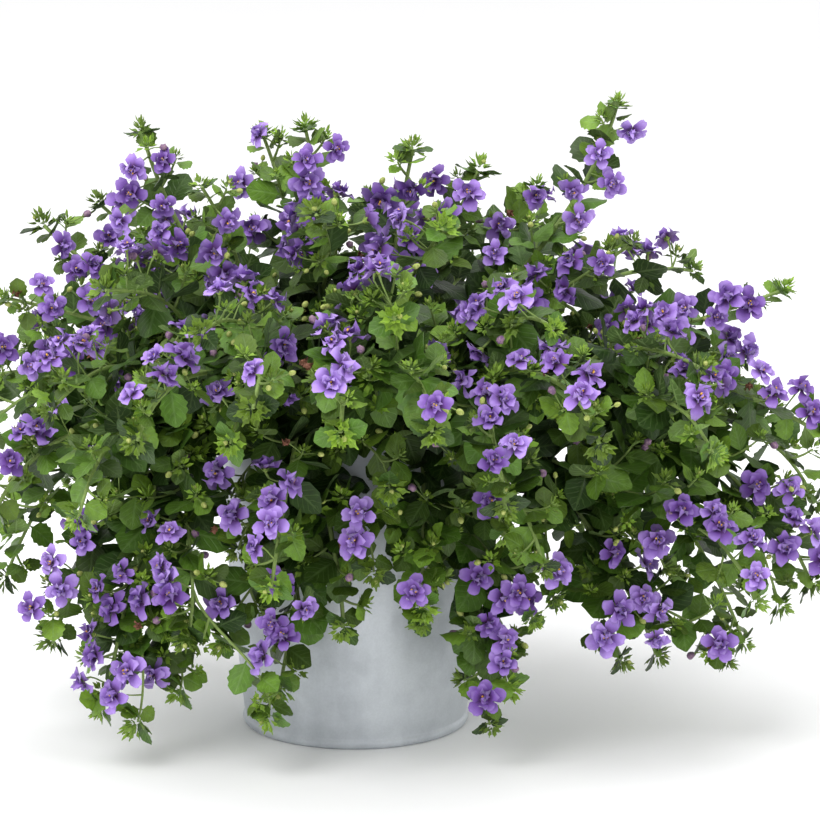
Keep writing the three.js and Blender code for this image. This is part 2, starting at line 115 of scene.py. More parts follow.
# Each stem's place in the soil, as a radius and an azimuth, and its shoot tips: x, y, z and the number
# of blooms that the shoot carries below its tip.
STEMS: dict[str, tuple[tuple[int, int], list[tuple[int, int, int, int]]]] = {
    "tall_right": ((16, 20), [(139, 5, 335, 5), (146, -25, 266, 5), (98, 48, 285, 0)]),
    "top_centre": ((8, 250), [(31, -12, 314, 5), (66, 18, 298, 5), (46, -88, 284, 5)]),
    "top_left": ((18, 150), [(-26, 8, 322, 5), (-50, 52, 312, 0), (-18, -92, 292, 5)]),
    "upper_left": ((24, 205), [(-112, -2, 322, 5), (-78, -52, 300, 5), (-138, 42, 276, 0)]),
    "left_upper": ((32, 172), [(-166, 10, 270, 5), (-182, -32, 238, 5), (-124, -108, 256, 5)]),
    "left": ((45, 186), [(-198, -2, 190, 5), (-206, 42, 146, 0), (-152, -118, 196, 5)]),
    "left_lower": ((46, 203), [(-187, -60, 130, 5), (-187, -22, 84, 0), (-137, -138, 146, 0)]),
    "bottom_left": ((46, 221), [(-158, -62, 62, 5), (-131, -92, 32, 5), (-84, -118, 78, 5)]),
    "front_left": ((30, 236), [(-104, -178, 194, 5), (-72, -168, 246, 5), (-46, -205, 216, 0)]),
    "front_centre": ((26, 272), [(-4, -205, 204, 5), (22, -186, 256, 5), (40, -212, 206, 0)]),
    "front_trail": ((47, 258), [(-5, -108, 80, 0), (-38, -98, 44, 5), (-40, -150, 112, 5)]),
    "front_right": ((32, 306), [(122, -176, 192, 5), (100, -158, 246, 5), (76, -182, 162, 5)]),
    "front_low": ((47, 288), [(80, -78, 40, 5), (96, -146, 122, 0), (36, -114, 92, 0)]),
    "right_lower": ((47, 326), [(160, -52, 50, 5), (210, -6, 44, 0), (208, -90, 90, 5)]),
    "right": ((47, 350), [(243, -30, 84, 5), (250, 24, 114, 0), (182, -126, 176, 5)]),
    "right_upper": ((30, 338), [(249, -12, 160, 5), (228, 2, 236, 5), (176, -106, 216, 5)]),
    "back_right": ((40, 38), [(188, 108, 228, 5), (212, 104, 150, 0), (166, 138, 92, 0)]),
    "back": ((36, 84), [(64, 196, 192, 5), (112, 172, 240, 0), (92, 176, 110, 0), (0, 184, 248, 5)]),
    "back_left": ((40, 128), [(-118, 146, 226, 5), (-150, 124, 158, 0), (-108, 150, 92, 0)]),
}

# The trailers hang down behind the pot: the stem, the share of its length where each one leaves, and its
# tip: x, y, z and the number of blooms.
TRAILERS = [
    ("back_left", 0.62, (-160, 96, 110, 3)),
    ("back_left", 0.56, (-60, 128, 96, 3)),
    ("back_left", 0.5, (-100, 90, 60, 3)),
    ("back", 0.68, (-30, 176, 170, 3)),
    ("back", 0.62, (10, 130, 120, 3)),
    ("back", 0.56, (70, 120, 70, 3)),
    ("back_right", 0.62, (150, 150, 150, 3)),
    ("back_right", 0.56, (130, 90, 66, 3)),
]

# Tips of thin leafy shoots that fill in between the others: x, y, z and the number of blooms.
FINE_TIPS = [
    (-91, -75, 37, 1), (-67, -90, 68, 1), (-59, -96, 118, 1), (-112, -96, 26, 2), (-97, -96, 76, 1),
    (-43, -115, 34, 0), (19, -126, 158, 0), (35, -112, 84, 1), (71, -95, 24, 1), (105, -70, 85, 1),
    (140, -70, 52, 2), (197, -50, 46, 1), (226, -40, 74, 1), (163, -60, 100, 1), (-190, 60, 190, 3),
    (210, 50, 190, 3), (40, 118, 172, 2), (11, -118, 112, 2), (-60, -148, 186, 1), (78, -104, 128, 1),
    (93, -90, 80, 1), (-64, -64, 138, 1),
]

# How long the side twigs are on the stems that stand more open, as a share of the usual.
TWIG_REACH = {"back_right": 0.5, "tall_right": 0.6, "right_upper": 0.35, "back": 0.85, "left_upper": 0.8}

UP = np.array((0.0, 0.0, 1.0))
Colour = tuple[float, float, float]


def draw(a: int, b: int, c: int) -> float:
    """One repeatable number from 0 to 1 for each set of three whole numbers.

    Args:
        a: The first number, such as a shoot's.
        b: The second number, such as a leaf's.
        c: The third number, one for each purpose.

    Returns:
        The number, the same in every run.
    """
    word = 0xFFFFFFFF
    h = ((a + 17) * 374761393 ^ (b + 29) * 668265263 ^ (c + 41) * 1274126177) & word
    h = (h ^ (h >> 15)) * 739982445 & word
    h = (h ^ (h >> 13)) * 1103515245 & word
    return ((h ^ (h >> 16)) & word) / 4294967296


def unit(v: np.ndarray) -> np.ndarray:
    """A vector's direction, of length 1."""
    return v / math.sqrt(v @ v)


def cross(a: np.ndarray, b: np.ndarray) -> np.ndarray:
    """The cross product of two vectors."""
    return np.array((a[1] * b[2] - a[2] * b[1], a[2] * b[0] - a[0] * b[2], a[0] * b[1] - a[1] * b[0]))


def square_to(axis: np.ndarray, v: np.ndarray) -> np.ndarray:
    """The direction square to an axis that lies nearest to a vector."""
    return unit(v - axis * (v @ axis))


def turned(v: np.ndarray, axis: np.ndarray, degrees: float) -> np.ndarray:
    """A vector turned about a unit axis by the right-hand rule."""
    angle = math.radians(degrees)
    straight = v * math.cos(angle) + cross(axis, v) * math.sin(angle)
    return straight + axis * ((axis @ v) * (1 - math.cos(angle)))


def smoothstep(value: float, low: float, high: float) -> float:
    """A smooth rise from 0 at the low value to 1 at the high one."""
    share = min(max((value - low) / (high - low), 0.0), 1.0)
    return share * share * (3 - 2 * share)


def between(ends: tuple[float, float], share: float) -> float:
    """The value at a share of the way between two."""
    return ends[0] + (ends[1] - ends[0]) * share


def srgb(red: int, green: int, blue: int) -> Colour:
    """A screen colour, 0 to 255 a channel, as the linear colour that a shader takes."""
    shares = (channel / 255 for channel in (red, green, blue))
    return tuple(s / 12.92 if s <= 0.04045 else ((s + 0.055) / 1.055) ** 2.4 for s in shares)


def wall_radius(z: np.ndarray | float) -> np.ndarray | float:
    """The pot's outer radius at a height."""
    return POT_BASE_RADIUS + (POT_TOP_RADIUS - POT_BASE_RADIUS) * z / POT_HEIGHT


def near_pot(points: np.ndarray, margin: float, rooted: np.ndarray | bool = False) -> np.ndarray:
    """Which points come near the pot's wall, the soil or the ground.

    Args:
        points: One point a row.
        margin: How near counts.
        rooted: Which points may lie in the soil.

    Returns:
        True or False for each point.
    """
    points = np.atleast_2d(points)
    r = np.hypot(points[:, 0], points[:, 1])
    z = points[:, 2]
    wall = wall_radius(z)
    inside = (z < SOIL_MIDDLE + 1) & (r < wall) & ~np.asarray(rooted)
    close = (z < POT_HEIGHT + margin) & (np.abs(r - wall) < margin + RIM_ROLL)
    return (z < margin) | inside | close


class Arc:
    """A cubic Bezier curve that is read by the distance along it."""

    DIVISIONS = 200
    NUDGE = 1e-4

    def __init__(self, start: np.ndarray, leave: np.ndarray, arrive: np.ndarray, end: np.ndarray) -> None:
        """Measures the curve through its four control points."""
        self.corners = (start, leave, arrive, end)
        self.shares = np.linspace(0, 1, self.DIVISIONS + 1)
        stretches = np.diff(self._at(self.shares), axis=0)
        self.lengths = np.concatenate(([0.0], np.cumsum(np.sqrt((stretches**2).sum(axis=1)))))
        self.length = float(self.lengths[-1])

    def _at(self, t: np.ndarray) -> np.ndarray:
        """The points at an array of curve parameters."""
        t = np.asarray(t, dtype=float)[..., None]
        s = 1 - t
        a, b, c, d = self.corners
        return s**3 * a + 3 * s * s * t * b + 3 * s * t * t * c + t**3 * d

    def _parameter(self, share: np.ndarray | float) -> np.ndarray:
        """The curve parameter at a share of the length."""
        return np.interp(np.asarray(share) * self.length, self.lengths, self.shares)

    def places(self, count: int) -> np.ndarray:
        """Evenly spaced points along the curve, one more than the count of stretches."""
        return self._at(self._parameter(np.linspace(0, 1, count + 1)))

    def place(self, distance: float) -> np.ndarray:
        """The point at a distance from the start."""
        return self._at(self._parameter(distance / self.length))

    def tangent(self, share: float) -> np.ndarray:
        """The direction at a share of the length."""
        t = float(self._parameter(share))
        low, high = self._at(np.array((max(t - self.NUDGE, 0.0), min(t + self.NUDGE, 1.0))))
        return unit(high - low)


class ShootKind(Enum):
    """The orders of shoot."""

    MAIN = "main"
    FORK = "fork"
    TRAILER = "trailer"
    FINE = "fine"


@dataclass(frozen=True)
class ShootForm:
    """The sizes of one order of shoot, in millimetres.

    The solids are straight-sided rods in `steps` stretches. `own` is the stretch at the foot that may
    touch what the shoot grows from, and the leaves start at `leaf_start`. An `optional` shoot is left out
    where no curve clears the pot.
    """

    radius: float
    steps: int
    taper: float
    own: float
    leaf_start: float
    spacing: float = SHOOT_SPACING
    optional: bool = False


SIDE_SHOOT = ShootForm(radius=1.1, steps=5, taper=0.9, own=12, leaf_start=14)
SHOOT_FORMS = {
    ShootKind.MAIN: ShootForm(radius=2.1, steps=8, taper=0.5, own=1.6 * ROOT_DEPTH, leaf_start=30),
    ShootKind.FORK: SIDE_SHOOT,
    ShootKind.TRAILER: SIDE_SHOOT,
    ShootKind.FINE: ShootForm(0.9, steps=5, taper=0.7, own=12, leaf_start=8, spacing=2.0, optional=True),
}


@dataclass(frozen=True)
class Perch:
    """A place on a stem, the stem's direction there, and the way to the light, square to the stem."""

    place: np.ndarray
    tangent: np.ndarray
    out: np.ndarray


@dataclass
class Shoot:
    """One shoot: its curve, and the straight-sided rod that its blooms are placed along."""

    stem: str
    kind: ShootKind
    arc: Arc
    blooms: int
    number: int = 0
    knots: np.ndarray = field(init=False)
    samples: np.ndarray = field(init=False)

    # The points on each stretch of the rod, where the back of the plant begins, and how far leaves and
    # blooms turn to the front or back and upwards.
    PARTS = 10
    BACK_FROM = 60.0
    FORWARD = 0.75
    UPWARD = 0.2

    def __post_init__(self) -> None:
        """Works out the rod's knots and the points along its straight stretches."""
        self.knots = self.arc.places(self.form.steps)
        shares = np.arange(1, self.PARTS + 1)[:, None] / self.PARTS
        stretches = [low + (high - low) * shares for low, high in zip(self.knots, self.knots[1:])]
        self.samples = np.vstack([self.knots[:1], *stretches])

    @property
    def form(self) -> ShootForm:
        """The sizes of this order of shoot."""
        return SHOOT_FORMS[self.kind]

    @property
    def length(self) -> float:
        """The length of the shoot's curve."""
        return self.arc.length

    @property
    def facing(self) -> int:
        """-1 for a shoot of the front, 1 for one of the back."""
        return -1 if self.arc.corners[3][1] < self.BACK_FROM else 1

    def on_rod(self, distance: float) -> tuple[np.ndarray, np.ndarray]:
        """The place on the rod and the direction at a distance from the start."""
        share = min(max(distance / self.length, 0.0), 1.0)
        at = share * self.form.steps
        knot = min(int(at), self.form.steps - 1)
        place = self.knots[knot] + (self.knots[knot + 1] - self.knots[knot]) * (at - knot)
        return place, self.arc.tangent(share)

    def on_curve(self, distance: float) -> tuple[np.ndarray, np.ndarray]:
        """The place on the smooth curve and the direction at a distance from the start."""
        return self.arc.place(distance), self.arc.tangent(distance / self.length)

    def perch(self, distance: float) -> Perch:
        """The place on the smooth curve at a distance from the start, with its directions."""
        place, tangent = self.on_curve(distance)
        return Perch(place, tangent, self.outwards(place, tangent))

    def outwards(self, place: np.ndarray, tangent: np.ndarray) -> np.ndarray:
        """Away from the plant's heart and to the light, square to the shoot."""
        radial = unit(place - np.array(HEART))
        forward = np.array((0.0, self.FORWARD * self.facing, 0.0))
        return square_to(tangent, radial + forward + self.UPWARD * UP)


@dataclass
class Bloom:
    """One bloom: the foot of its stalk, its centre, the way that it faces and one petal's direction."""

    foot: np.ndarray
    centre: np.ndarray
    face: np.ndarray
    size: float
    spin: np.ndarray | None = None

    # The arms of the disc, and the gap and half the depth that are kept free around a bloom.
    ARMS = 10
    GAP = 1.0
    HALF_DEPTH = 3.0

    def holds(self, points: np.ndarray, margin: float, depth: float) -> np.ndarray:
        """Which points lie in the slab that the bloom takes up, with a margin and half a depth."""
        offset = np.atleast_2d(points) - self.centre
        height = offset @ self.face
        reach = self.size + margin
        return (np.abs(height) < depth) & ((offset**2).sum(axis=1) - height**2 < reach * reach)

    def disc(self) -> np.ndarray:
        """Points of the bloom's face: its centre, and two on each of ten arms."""
        points = [self.centre]
        for arm in range(self.ARMS):
            way = turned(self.spin, self.face, 360 / self.ARMS * arm)
            points += [self.centre + way * self.size, self.centre + way * (0.55 * self.size)]
        return np.array(points)

    def crosses(self, other: Bloom) -> bool:
        """True where two blooms run into each other."""
        gap = self.centre - other.centre
        if gap @ gap >= (self.size + other.size + 2 * self.GAP) ** 2:
            return False
        limits = (self.GAP, self.HALF_DEPTH)
        return bool(other.holds(self.disc(), *limits).any() or self.holds(other.disc(), *limits).any())


@dataclass
class Spray:
    """The blooms of one shoot."""

    shoot: Shoot
    blooms: list[Bloom]


@dataclass
class Twig:
    """A short leafy side twig of a shoot, with a rosette at its end and perhaps a bloom below it."""

    shoot: Shoot
    arc: Arc
    number: int
    out: np.ndarray
    youth: float
    bloom: Bloom | None = None


class Canopy:
    """How deep a point lies in the plant, measured against the points of its outside."""

    # The cosine that bounds the directions compared, and the percentile of their distances that counts
    # as the outside.
    CONE = 0.93
    OUTSIDE = 70

    def __init__(self, points: np.ndarray) -> None:
        """Keeps the outside's points as directions and distances from the plant's heart."""
        offsets = points - np.array(HEART)
        self.reaches = np.sqrt((offsets**2).sum(axis=1))
        self.ways = offsets / self.reaches[:, None]

    def share(self, point: np.ndarray) -> float:
        """A point's distance from the heart as a share of the outside's: 0 at the heart, 1 outside."""
        offset = point - np.array(HEART)
        reach = math.sqrt(offset @ offset)
        near = self.ways @ (offset / max(reach, 1.0)) > self.CONE
        if not near.any():
            return 1.0
        return reach / float(np.percentile(self.reaches[near], self.OUTSIDE))


@dataclass(frozen=True)
class TwigHabit:
    """How the side twigs grow, in millimetres and shares.

    The first twig stands `below_tip` of its shoot's tip and the next ones a pitch apart, which is wider
    inside the plant, near the tip and at the back. Deeper in than `sparse_depth` only every second twig
    grows. A twig without a bloom goes where it stands less than `sight` in front of one. The chance of a
    bloom rises from low to high on the plant's face, and falls towards its left and right ends.
    """

    below_tip: float = 15.0
    pitch: float = 10.0
    pitch_spread: float = 4.0
    inner_pitch: float = 5.0
    tip_pitch: float = 4.0
    back_pitch: float = 3.0
    inner_depth: float = 0.55
    sparse_depth: float = 0.45
    least_length: float = 9.0
    growth: float = 0.25
    most_length: float = 41.0
    pot_margin: float = 5.0
    sight: float = 24.0
    bloom_depth: float = 0.6
    back_blooms: float = 0.45
    low_blooms: float = 0.08
    high_blooms: float = 0.28
    rise: tuple[float, float] = (120.0, 220.0)
    end_loss: float = 0.75
    ends: tuple[float, float] = (100.0, 170.0)
    stalk: float = 13.0
    stalk_spread: float = 7.0
    crowding: float = 1.5 * BLOOM_RADIUS
    bloom_sight: float = 22.0

    def pitch_after(self, shoot: Shoot, at: float, depth: float, number: int) -> float:
        """The distance down to the next twig of a shoot."""
        near_tip = smoothstep(at, shoot.length - 70, shoot.length)
        pitch = self.pitch + self.pitch_spread * draw(number, 0, 21)
        pitch += self.inner_pitch * (depth < self.inner_depth) + self.tip_pitch * near_tip
        return pitch + self.back_pitch * (shoot.facing > 0)

    def bloom_chance(self, shoot: Shoot, place: np.ndarray) -> float:
        """How likely a twig at a place carries a bloom."""
        if shoot.facing > 0:
            return self.back_blooms
        chance = self.low_blooms + self.high_blooms * smoothstep(place[2], *self.rise)
        return chance * (1 - self.end_loss * smoothstep(abs(place[0] - HEART[0]), *self.ends))


class Plant:
    """The plant's shoots and sprays, grown by the rule that made the solids, and its side twigs."""

    RISES = range(0, 169, 12)
    SWINGS = (0, 14, -14, 28, -28, 42, -42)
    PUSHES = (0, 3, 6)
    ROLLS = (0, 15, -15, 30, -30, 45, -45, 60, -60)
    SLIDES = (0, 5, 10, 15, 20)
    TWIG_TURNS = ((0.68, 1.0), (-0.68, 0.9), (1.0, 0.75), (0.3, 0.6), (-1.0, 0.5))
    BLOOM_TRIES = 4

    # The distance kept from the pot, the gap that a curve too near to it counts for, and the gap and half
    # the depth that a spray's bloom keeps free of stems.
    CLEARANCE = 3.0
    TOUCHING = -0.5
    STEM_GAP = 2.0
    STEM_DEPTH = 3.5

    # How a shoot leaves and arrives, as shares of its span, and the height where it arrives level.
    LEAVE = 0.3
    ARRIVE = 0.36
    LEVEL_TIP = 205.0

    # A fine shoot's usual span, and what a climb and a straight start weigh when its foot is chosen.
    FINE_SPAN = 78.0
    CLIMB_COST = 2.0
    STRAIGHT_GAIN = 25.0
    FINE_SPREAD = 0.6

    # How far a bloom strays sideways and outwards, and its least size.
    STRAY = 6.5
    STRAY_OUT = 4.0
    LEAST_SIZE = 0.76

    def __init__(self, room: tuple[Vector, Vector], habit: TwigHabit) -> None:
        """Grows the plant.

        Args:
            room: The lowest and highest corner that twigs may reach, in metres.
            habit: How its side twigs grow.
        """
        self.low = np.array(room[0]) / MM
        self.high = np.array(room[1]) / MM
        self.habit = habit
        self.shoots: list[Shoot] = []
        self._grow_shoots()
        trailers = [shoot for shoot in self.shoots if shoot.kind is ShootKind.TRAILER]
        self.sprays = list(self._grow_sprays(self.shoots[: -len(trailers)], []))
        self.blooms = [bloom for spray in self.sprays for bloom in spray.blooms]
        self._loosen()
        self.fine_sprays = list(self._grow_sprays(trailers + self._grow_fine_shoots(), self.blooms))
        self.twig_ends = [shoot.knots[-1] for shoot in self.shoots]
        self.canopy = Canopy(np.array(self.twig_ends + [bloom.centre for bloom in self.blooms]))
        twigs = list(self._grow_twigs())
        self.twigs = [twig for twig in twigs if twig.bloom or not self._stands_before_bloom(twig)]

    def _arch(
        self, stem: str, kind: ShootKind, start: np.ndarray, heading: np.ndarray, tip: np.ndarray
    ) -> Arc | None:
        """Of the ways to arch from a start to a tip, the first that clears the pot and the other stems.

        Args:
            stem: The stem that the shoot belongs to.
            kind: Its order.
            start: Where it starts.
            heading: The direction in which it leaves.
            tip: Where it ends.

        Returns:
            The shoot's curve, or None where an optional shoot finds no way.
        """
        form = SHOOT_FORMS[kind]
        span = math.dist(start, tip)
        sideways = unit(cross(UP, np.array((tip[0] - start[0], tip[1] - start[1], 0.0))))
        arrive = tip - self._arrival(tip) * (self.ARRIVE * span)
        others = [shoot.samples for shoot in self.shoots if shoot.stem != stem]
        best_gap, best = -1.0, None
        for rise in self.RISES:
            for swing in self.SWINGS:
                leave = start + heading * (self.LEAVE * span) + UP * rise + sideways * swing
                shoot = Shoot(stem, kind, Arc(start, leave, arrive, tip), 0)
                away = np.sqrt(((shoot.samples - start) ** 2).sum(axis=1))
                rooted = away < form.own if kind is ShootKind.MAIN else False
                gap = self.TOUCHING
                if not near_pot(shoot.samples, self.CLEARANCE, rooted).any():
                    gap = self._least_gap(shoot.samples[away > form.own], others)
                elif form.optional:
                    continue
                if gap > best_gap:
                    best_gap, best = gap, shoot.arc
                if gap > form.spacing:
                    return best
        return best

    @staticmethod
    def _least_gap(points: np.ndarray, others: list[np.ndarray]) -> float:
        """The least distance from any of the points to any of the other shoots' points."""
        if not others:
            return math.inf
        rest = np.vstack(others)
        squares = (points**2).sum(axis=1)[:, None] + (rest**2).sum(axis=1) - 2 * points @ rest.T
        return math.sqrt(max(float(squares.min()), 0.0))

    def _arrival(self, tip: np.ndarray) -> np.ndarray:
        """The direction in which a shoot reaches its tip: up at the top, drooping on the plant's face."""
        away = unit(np.array((tip[0] - HEART[0], tip[1] - HEART[1], 0.0)))
        lift = min(max((tip[2] - self.LEVEL_TIP - 0.4 * abs(tip[1])) / 100, -1.0), 1.1)
        return unit(away * (1 - 0.65 * abs(lift)) + UP * lift)

    def _add(self, stem: str, kind: ShootKind, arc: Arc, blooms: int) -> Shoot:
        """Keeps a shoot and numbers it."""
        shoot = Shoot(stem, kind, arc, blooms, len(self.shoots))
        self.shoots.append(shoot)
        return shoot

    def _grow_shoots(self) -> None:
        """Arches each stem from the soil to its first tip, then its forks. The trailers come last."""
        mains = {}
        for stem, ((radius, azimuth), tips) in STEMS.items():
            angle = math.radians(azimuth)
            foot = SOIL_MIDDLE - ROOT_DEPTH
            start = np.array((radius * math.cos(angle), radius * math.sin(angle), foot))
            *first, blooms = tips[0]
            lean = unit(np.array((first[0] - start[0], first[1] - start[1], 0.0)))
            arc = self._arch(stem, ShootKind.MAIN, start, UP + 0.35 * lean, np.array(first, dtype=float))
            mains[stem] = self._add(stem, ShootKind.MAIN, arc, blooms)
            for share, tip in zip(FORK_PLACES, tips[1:]):
                self._fork(mains[stem], ShootKind.FORK, share, tip)
        for stem, share, tip in TRAILERS:
            self._fork(mains[stem], ShootKind.TRAILER, share, tip)

    def _fork(self, main: Shoot, kind: ShootKind, share: float, tip: tuple[int, int, int, int]) -> None:
        """Grows a fork.

        Args:
            main: The shoot that it leaves.
            kind: Its order.
            share: Where it leaves, as a share of the main shoot's length.
            tip: Its tip, and how many blooms it carries.
        """
        *place, blooms = tip
        end = np.array(place, dtype=float)
        start, tangent = main.on_rod(share * main.length)
        parting = unit(tangent + unit(end - start) * FORK_SPREAD)
        self._add(main.stem, kind, self._arch(main.stem, kind, start, parting, end), blooms)

    def _grow_fine_shoots(self) -> list[Shoot]:
        """A thin shoot reaches each fine tip from the best placed point of a shoot above it."""
        grown = []
        parents = list(self.shoots)
        for *end, blooms in FINE_TIPS:
            tip = np.array(end, dtype=float)
            best_cost, best = math.inf, None
            for shoot in parents:
                for step in range(3, 10):
                    place, tangent = shoot.on_curve(shoot.length * step / 10)
                    climb = max(tip[2] - place[2], 0)
                    cost = abs(math.dist(place, tip) - self.FINE_SPAN) + self.CLIMB_COST * climb
                    cost -= self.STRAIGHT_GAIN * (tangent @ unit(tip - place))
                    if cost < best_cost:
                        best_cost, best = cost, (shoot.stem, place, tangent)
            stem, place, tangent = best
            parting = unit(tangent + self.FINE_SPREAD * unit(tip - place))
            arc = self._arch(stem, ShootKind.FINE, place, parting, tip)
            if arc is not None:
                grown.append(self._add(stem, ShootKind.FINE, arc, blooms))
        return grown

    @staticmethod
    def _spray_at(shoot: Shoot, slide: float, roll: float, push: float) -> list[Bloom]:
        """The blooms of one shoot, which stand off it to alternate sides.

        Args:
            shoot: The shoot.
            slide: How far down from its usual place the spray starts.
            roll: How far the spray is turned about the shoot.
            push: How much further than usual it stands off.

        Returns:
            The blooms, from the tip down.
        """
        blooms: list[Bloom] = []
        at = shoot.length - SPRAY_START - slide
        while len(blooms) < shoot.blooms:
            number = len(blooms)
            place, tangent = shoot.on_rod(at)
            side = -1 if number % 2 else 1
            face = turned(shoot.outwards(place, tangent), tangent, roll + side * BLOOM_FAN)
            centre = place + face * (BLOOM_STAND_OFF + push)
            at -= 0.5
            if number and math.dist(centre, blooms[-1].centre) < BLOOM_SPACING:
                continue
            size = BLOOM_RADIUS * (0.95 + 0.12 * draw(shoot.number, number, 5))
            blooms.append(Bloom(place, centre, face, size))
        for i, bloom in enumerate(blooms):
            neighbours = blooms[max(i - 1, 0) : i] + blooms[i + 1 : i + 2]
            ways = [square_to(bloom.face, other.centre - bloom.centre) for other in neighbours]
            between = square_to(bloom.face, sum(ways) if ways else UP)
            bloom.spin = turned(between, bloom.face, HALF_PETAL) if len(ways) > 1 else between
        return blooms

    def _grow_sprays(self, shoots: Sequence[Shoot], placed: list[Bloom]) -> Iterator[Spray]:
        """Each spray slides down its shoot, rolls about it or stands further off until it is clear.

        Args:
            shoots: The shoots that may carry sprays.
            placed: The blooms so far. The new ones join them.

        Yields:
            The sprays.
        """
        stems = np.vstack([shoot.samples for shoot in self.shoots])
        for shoot in shoots:
            if not shoot.blooms:
                continue
            ways = ((s, r, p) for p in self.PUSHES for r in self.ROLLS for s in self.SLIDES)
            for slide, roll, push in ways:
                blooms = self._spray_at(shoot, slide, roll, push)
                if not any(self._is_blocked(bloom, stems, placed) for bloom in blooms):
                    placed += blooms
                    yield Spray(shoot, blooms)
                    break

    def _is_blocked(self, bloom: Bloom, stems: np.ndarray, placed: list[Bloom]) -> bool:
        """True where a bloom would run into the pot, a stem or another spray."""
        if near_pot(bloom.disc(), self.CLEARANCE).any():
            return True
        if bloom.holds(stems, self.STEM_GAP, self.STEM_DEPTH).any():
            return True
        return any(bloom.crosses(other) for other in placed)

    def _loosen(self) -> None:
        """Nudges and tilts each bloom, because no two sit alike."""
        for number, bloom in enumerate(self.blooms):
            hinge, shift = (turned(bloom.spin, bloom.face, 360 * draw(number, i, 91)) for i in (1, 5))
            centre = bloom.centre + shift * (self.STRAY * draw(number, 6, 91))
            centre += bloom.face * (self.STRAY_OUT * draw(number, 7, 91))
            face = turned(bloom.face, hinge, BLOOM_TILT * draw(number, 2, 91))
            size = bloom.size * (self.LEAST_SIZE + (1 - self.LEAST_SIZE) * draw(number, 3, 91))
            loose = Bloom(bloom.foot, centre, face, size, square_to(face, bloom.spin))
            if not near_pot(loose.disc(), self.CLEARANCE / 2).any():
                bloom.centre, bloom.face, bloom.size, bloom.spin = centre, face, size, loose.spin

    def _grow_twigs(self) -> Iterator[Twig]:
        """Side twigs leave each shoot all the way along it, a golden angle apart, mostly to the light."""
        habit = self.habit
        number = 0
        for shoot in self.shoots:
            at = shoot.length - habit.below_tip
            while at > shoot.form.leaf_start:
                perch = shoot.perch(at)
                depth = self.canopy.share(perch.place)
                arc = self._twig_arc(shoot, perch, at, number)
                if arc is not None and (depth > habit.sparse_depth or number % 2):
                    youth = smoothstep(at, shoot.length - 50, shoot.length)
                    twig = Twig(shoot, arc, number, perch.out, youth)
                    self.twig_ends.append(arc.place(arc.length))
                    chance = habit.bloom_chance(shoot, perch.place)
                    if depth > habit.bloom_depth and draw(number, 5, 21) < chance:
                        twig.bloom = self._twig_bloom(twig)
                    yield twig
                number += 1
                at -= habit.pitch_after(shoot, at, depth, number)

    def _twig_arc(self, shoot: Shoot, perch: Perch, at: float, number: int) -> Arc | None:
        """A twig's curve, shortened or turned until it hides no bloom and clears the pot.

        Args:
            shoot: The shoot that it grows on.
            perch: Where it leaves the shoot.
            at: Its distance along the shoot.
            number: Its number, for its draws.

        Returns:
            The curve, or None where there is no room.
        """
        habit, place = self.habit, perch.place
        swing = (number * GOLDEN_ANGLE + 40 * draw(number, 1, 21)) % 360 - 180
        length = min(habit.least_length + habit.growth * (shoot.length - at), habit.most_length)
        length *= (0.75 + 0.4 * draw(number, 2, 21)) * TWIG_REACH.get(shoot.stem, 1.0)
        for turn, shrink in self.TWIG_TURNS:
            radial = turned(perch.out, perch.tangent, swing * turn)
            axis = unit(0.8 * radial + 0.55 * perch.tangent)
            long = length * shrink
            end = place + axis * (0.9 * long) + UP * (0.2 * long)
            arc = Arc(place, place + axis * (0.3 * long), place + axis * (0.55 * long), end)
            path = arc.places(6)[1:]
            blocked = near_pot(path, habit.pot_margin).any() or not self._has_room(path)
            if not blocked and not self.hides_bloom(path):
                return arc
        return None

    def _has_room(self, points: np.ndarray) -> bool:
        """True where all points are inside the room."""
        return bool((points > self.low).all() and (points < self.high).all())

    def hides_bloom(self, path: np.ndarray, before: float = 18.0) -> bool:
        """True where a point of a path lies in a bloom or within a distance before one."""
        centres = np.array([bloom.centre for bloom in self.blooms])
        faces = np.array([bloom.face for bloom in self.blooms])
        offsets = path[:, None, :] - centres[None, :, :]
        heights = (offsets * faces).sum(axis=2)
        aside = (offsets**2).sum(axis=2) - heights**2
        return bool(((heights > -1) & (heights < before) & (aside < (0.9 * BLOOM_RADIUS) ** 2)).any())

    def _stands_before_bloom(self, twig: Twig) -> bool:
        """True where a twig's outer half stands in front of a bloom."""
        return self.hides_bloom(twig.arc.places(2)[1:], self.habit.sight)

    def _twig_bloom(self, twig: Twig) -> Bloom | None:
        """One bloom on a stalk from below the twig's rosette, or None where it would crowd another.

        Args:
            twig: The twig, whose number decides which way the bloom faces.

        Returns:
            The bloom.
        """
        arc, number = twig.arc, twig.number
        foot, axis = arc.place(arc.length - 4), arc.tangent(1.0)
        size = BLOOM_RADIUS * (0.74 + 0.24 * draw(number, 8, 21))
        for attempt in range(6, 6 + 10 * self.BLOOM_TRIES, 10):
            side = turned(square_to(axis, twig.out), axis, 160 * (draw(number, attempt, 21) - 0.5))
            face = unit(side + 0.9 * twig.out + 0.35 * UP)
            way = unit(side + 0.7 * twig.out + 0.35 * axis)
            stalk = self.habit.stalk + self.habit.stalk_spread * draw(number, attempt + 1, 21)
            bloom = Bloom(foot, foot + way * stalk, face, size, square_to(face, UP + 0.1 * axis))
            if self._has_space(bloom):
                self.blooms.append(bloom)
                return bloom
        return None

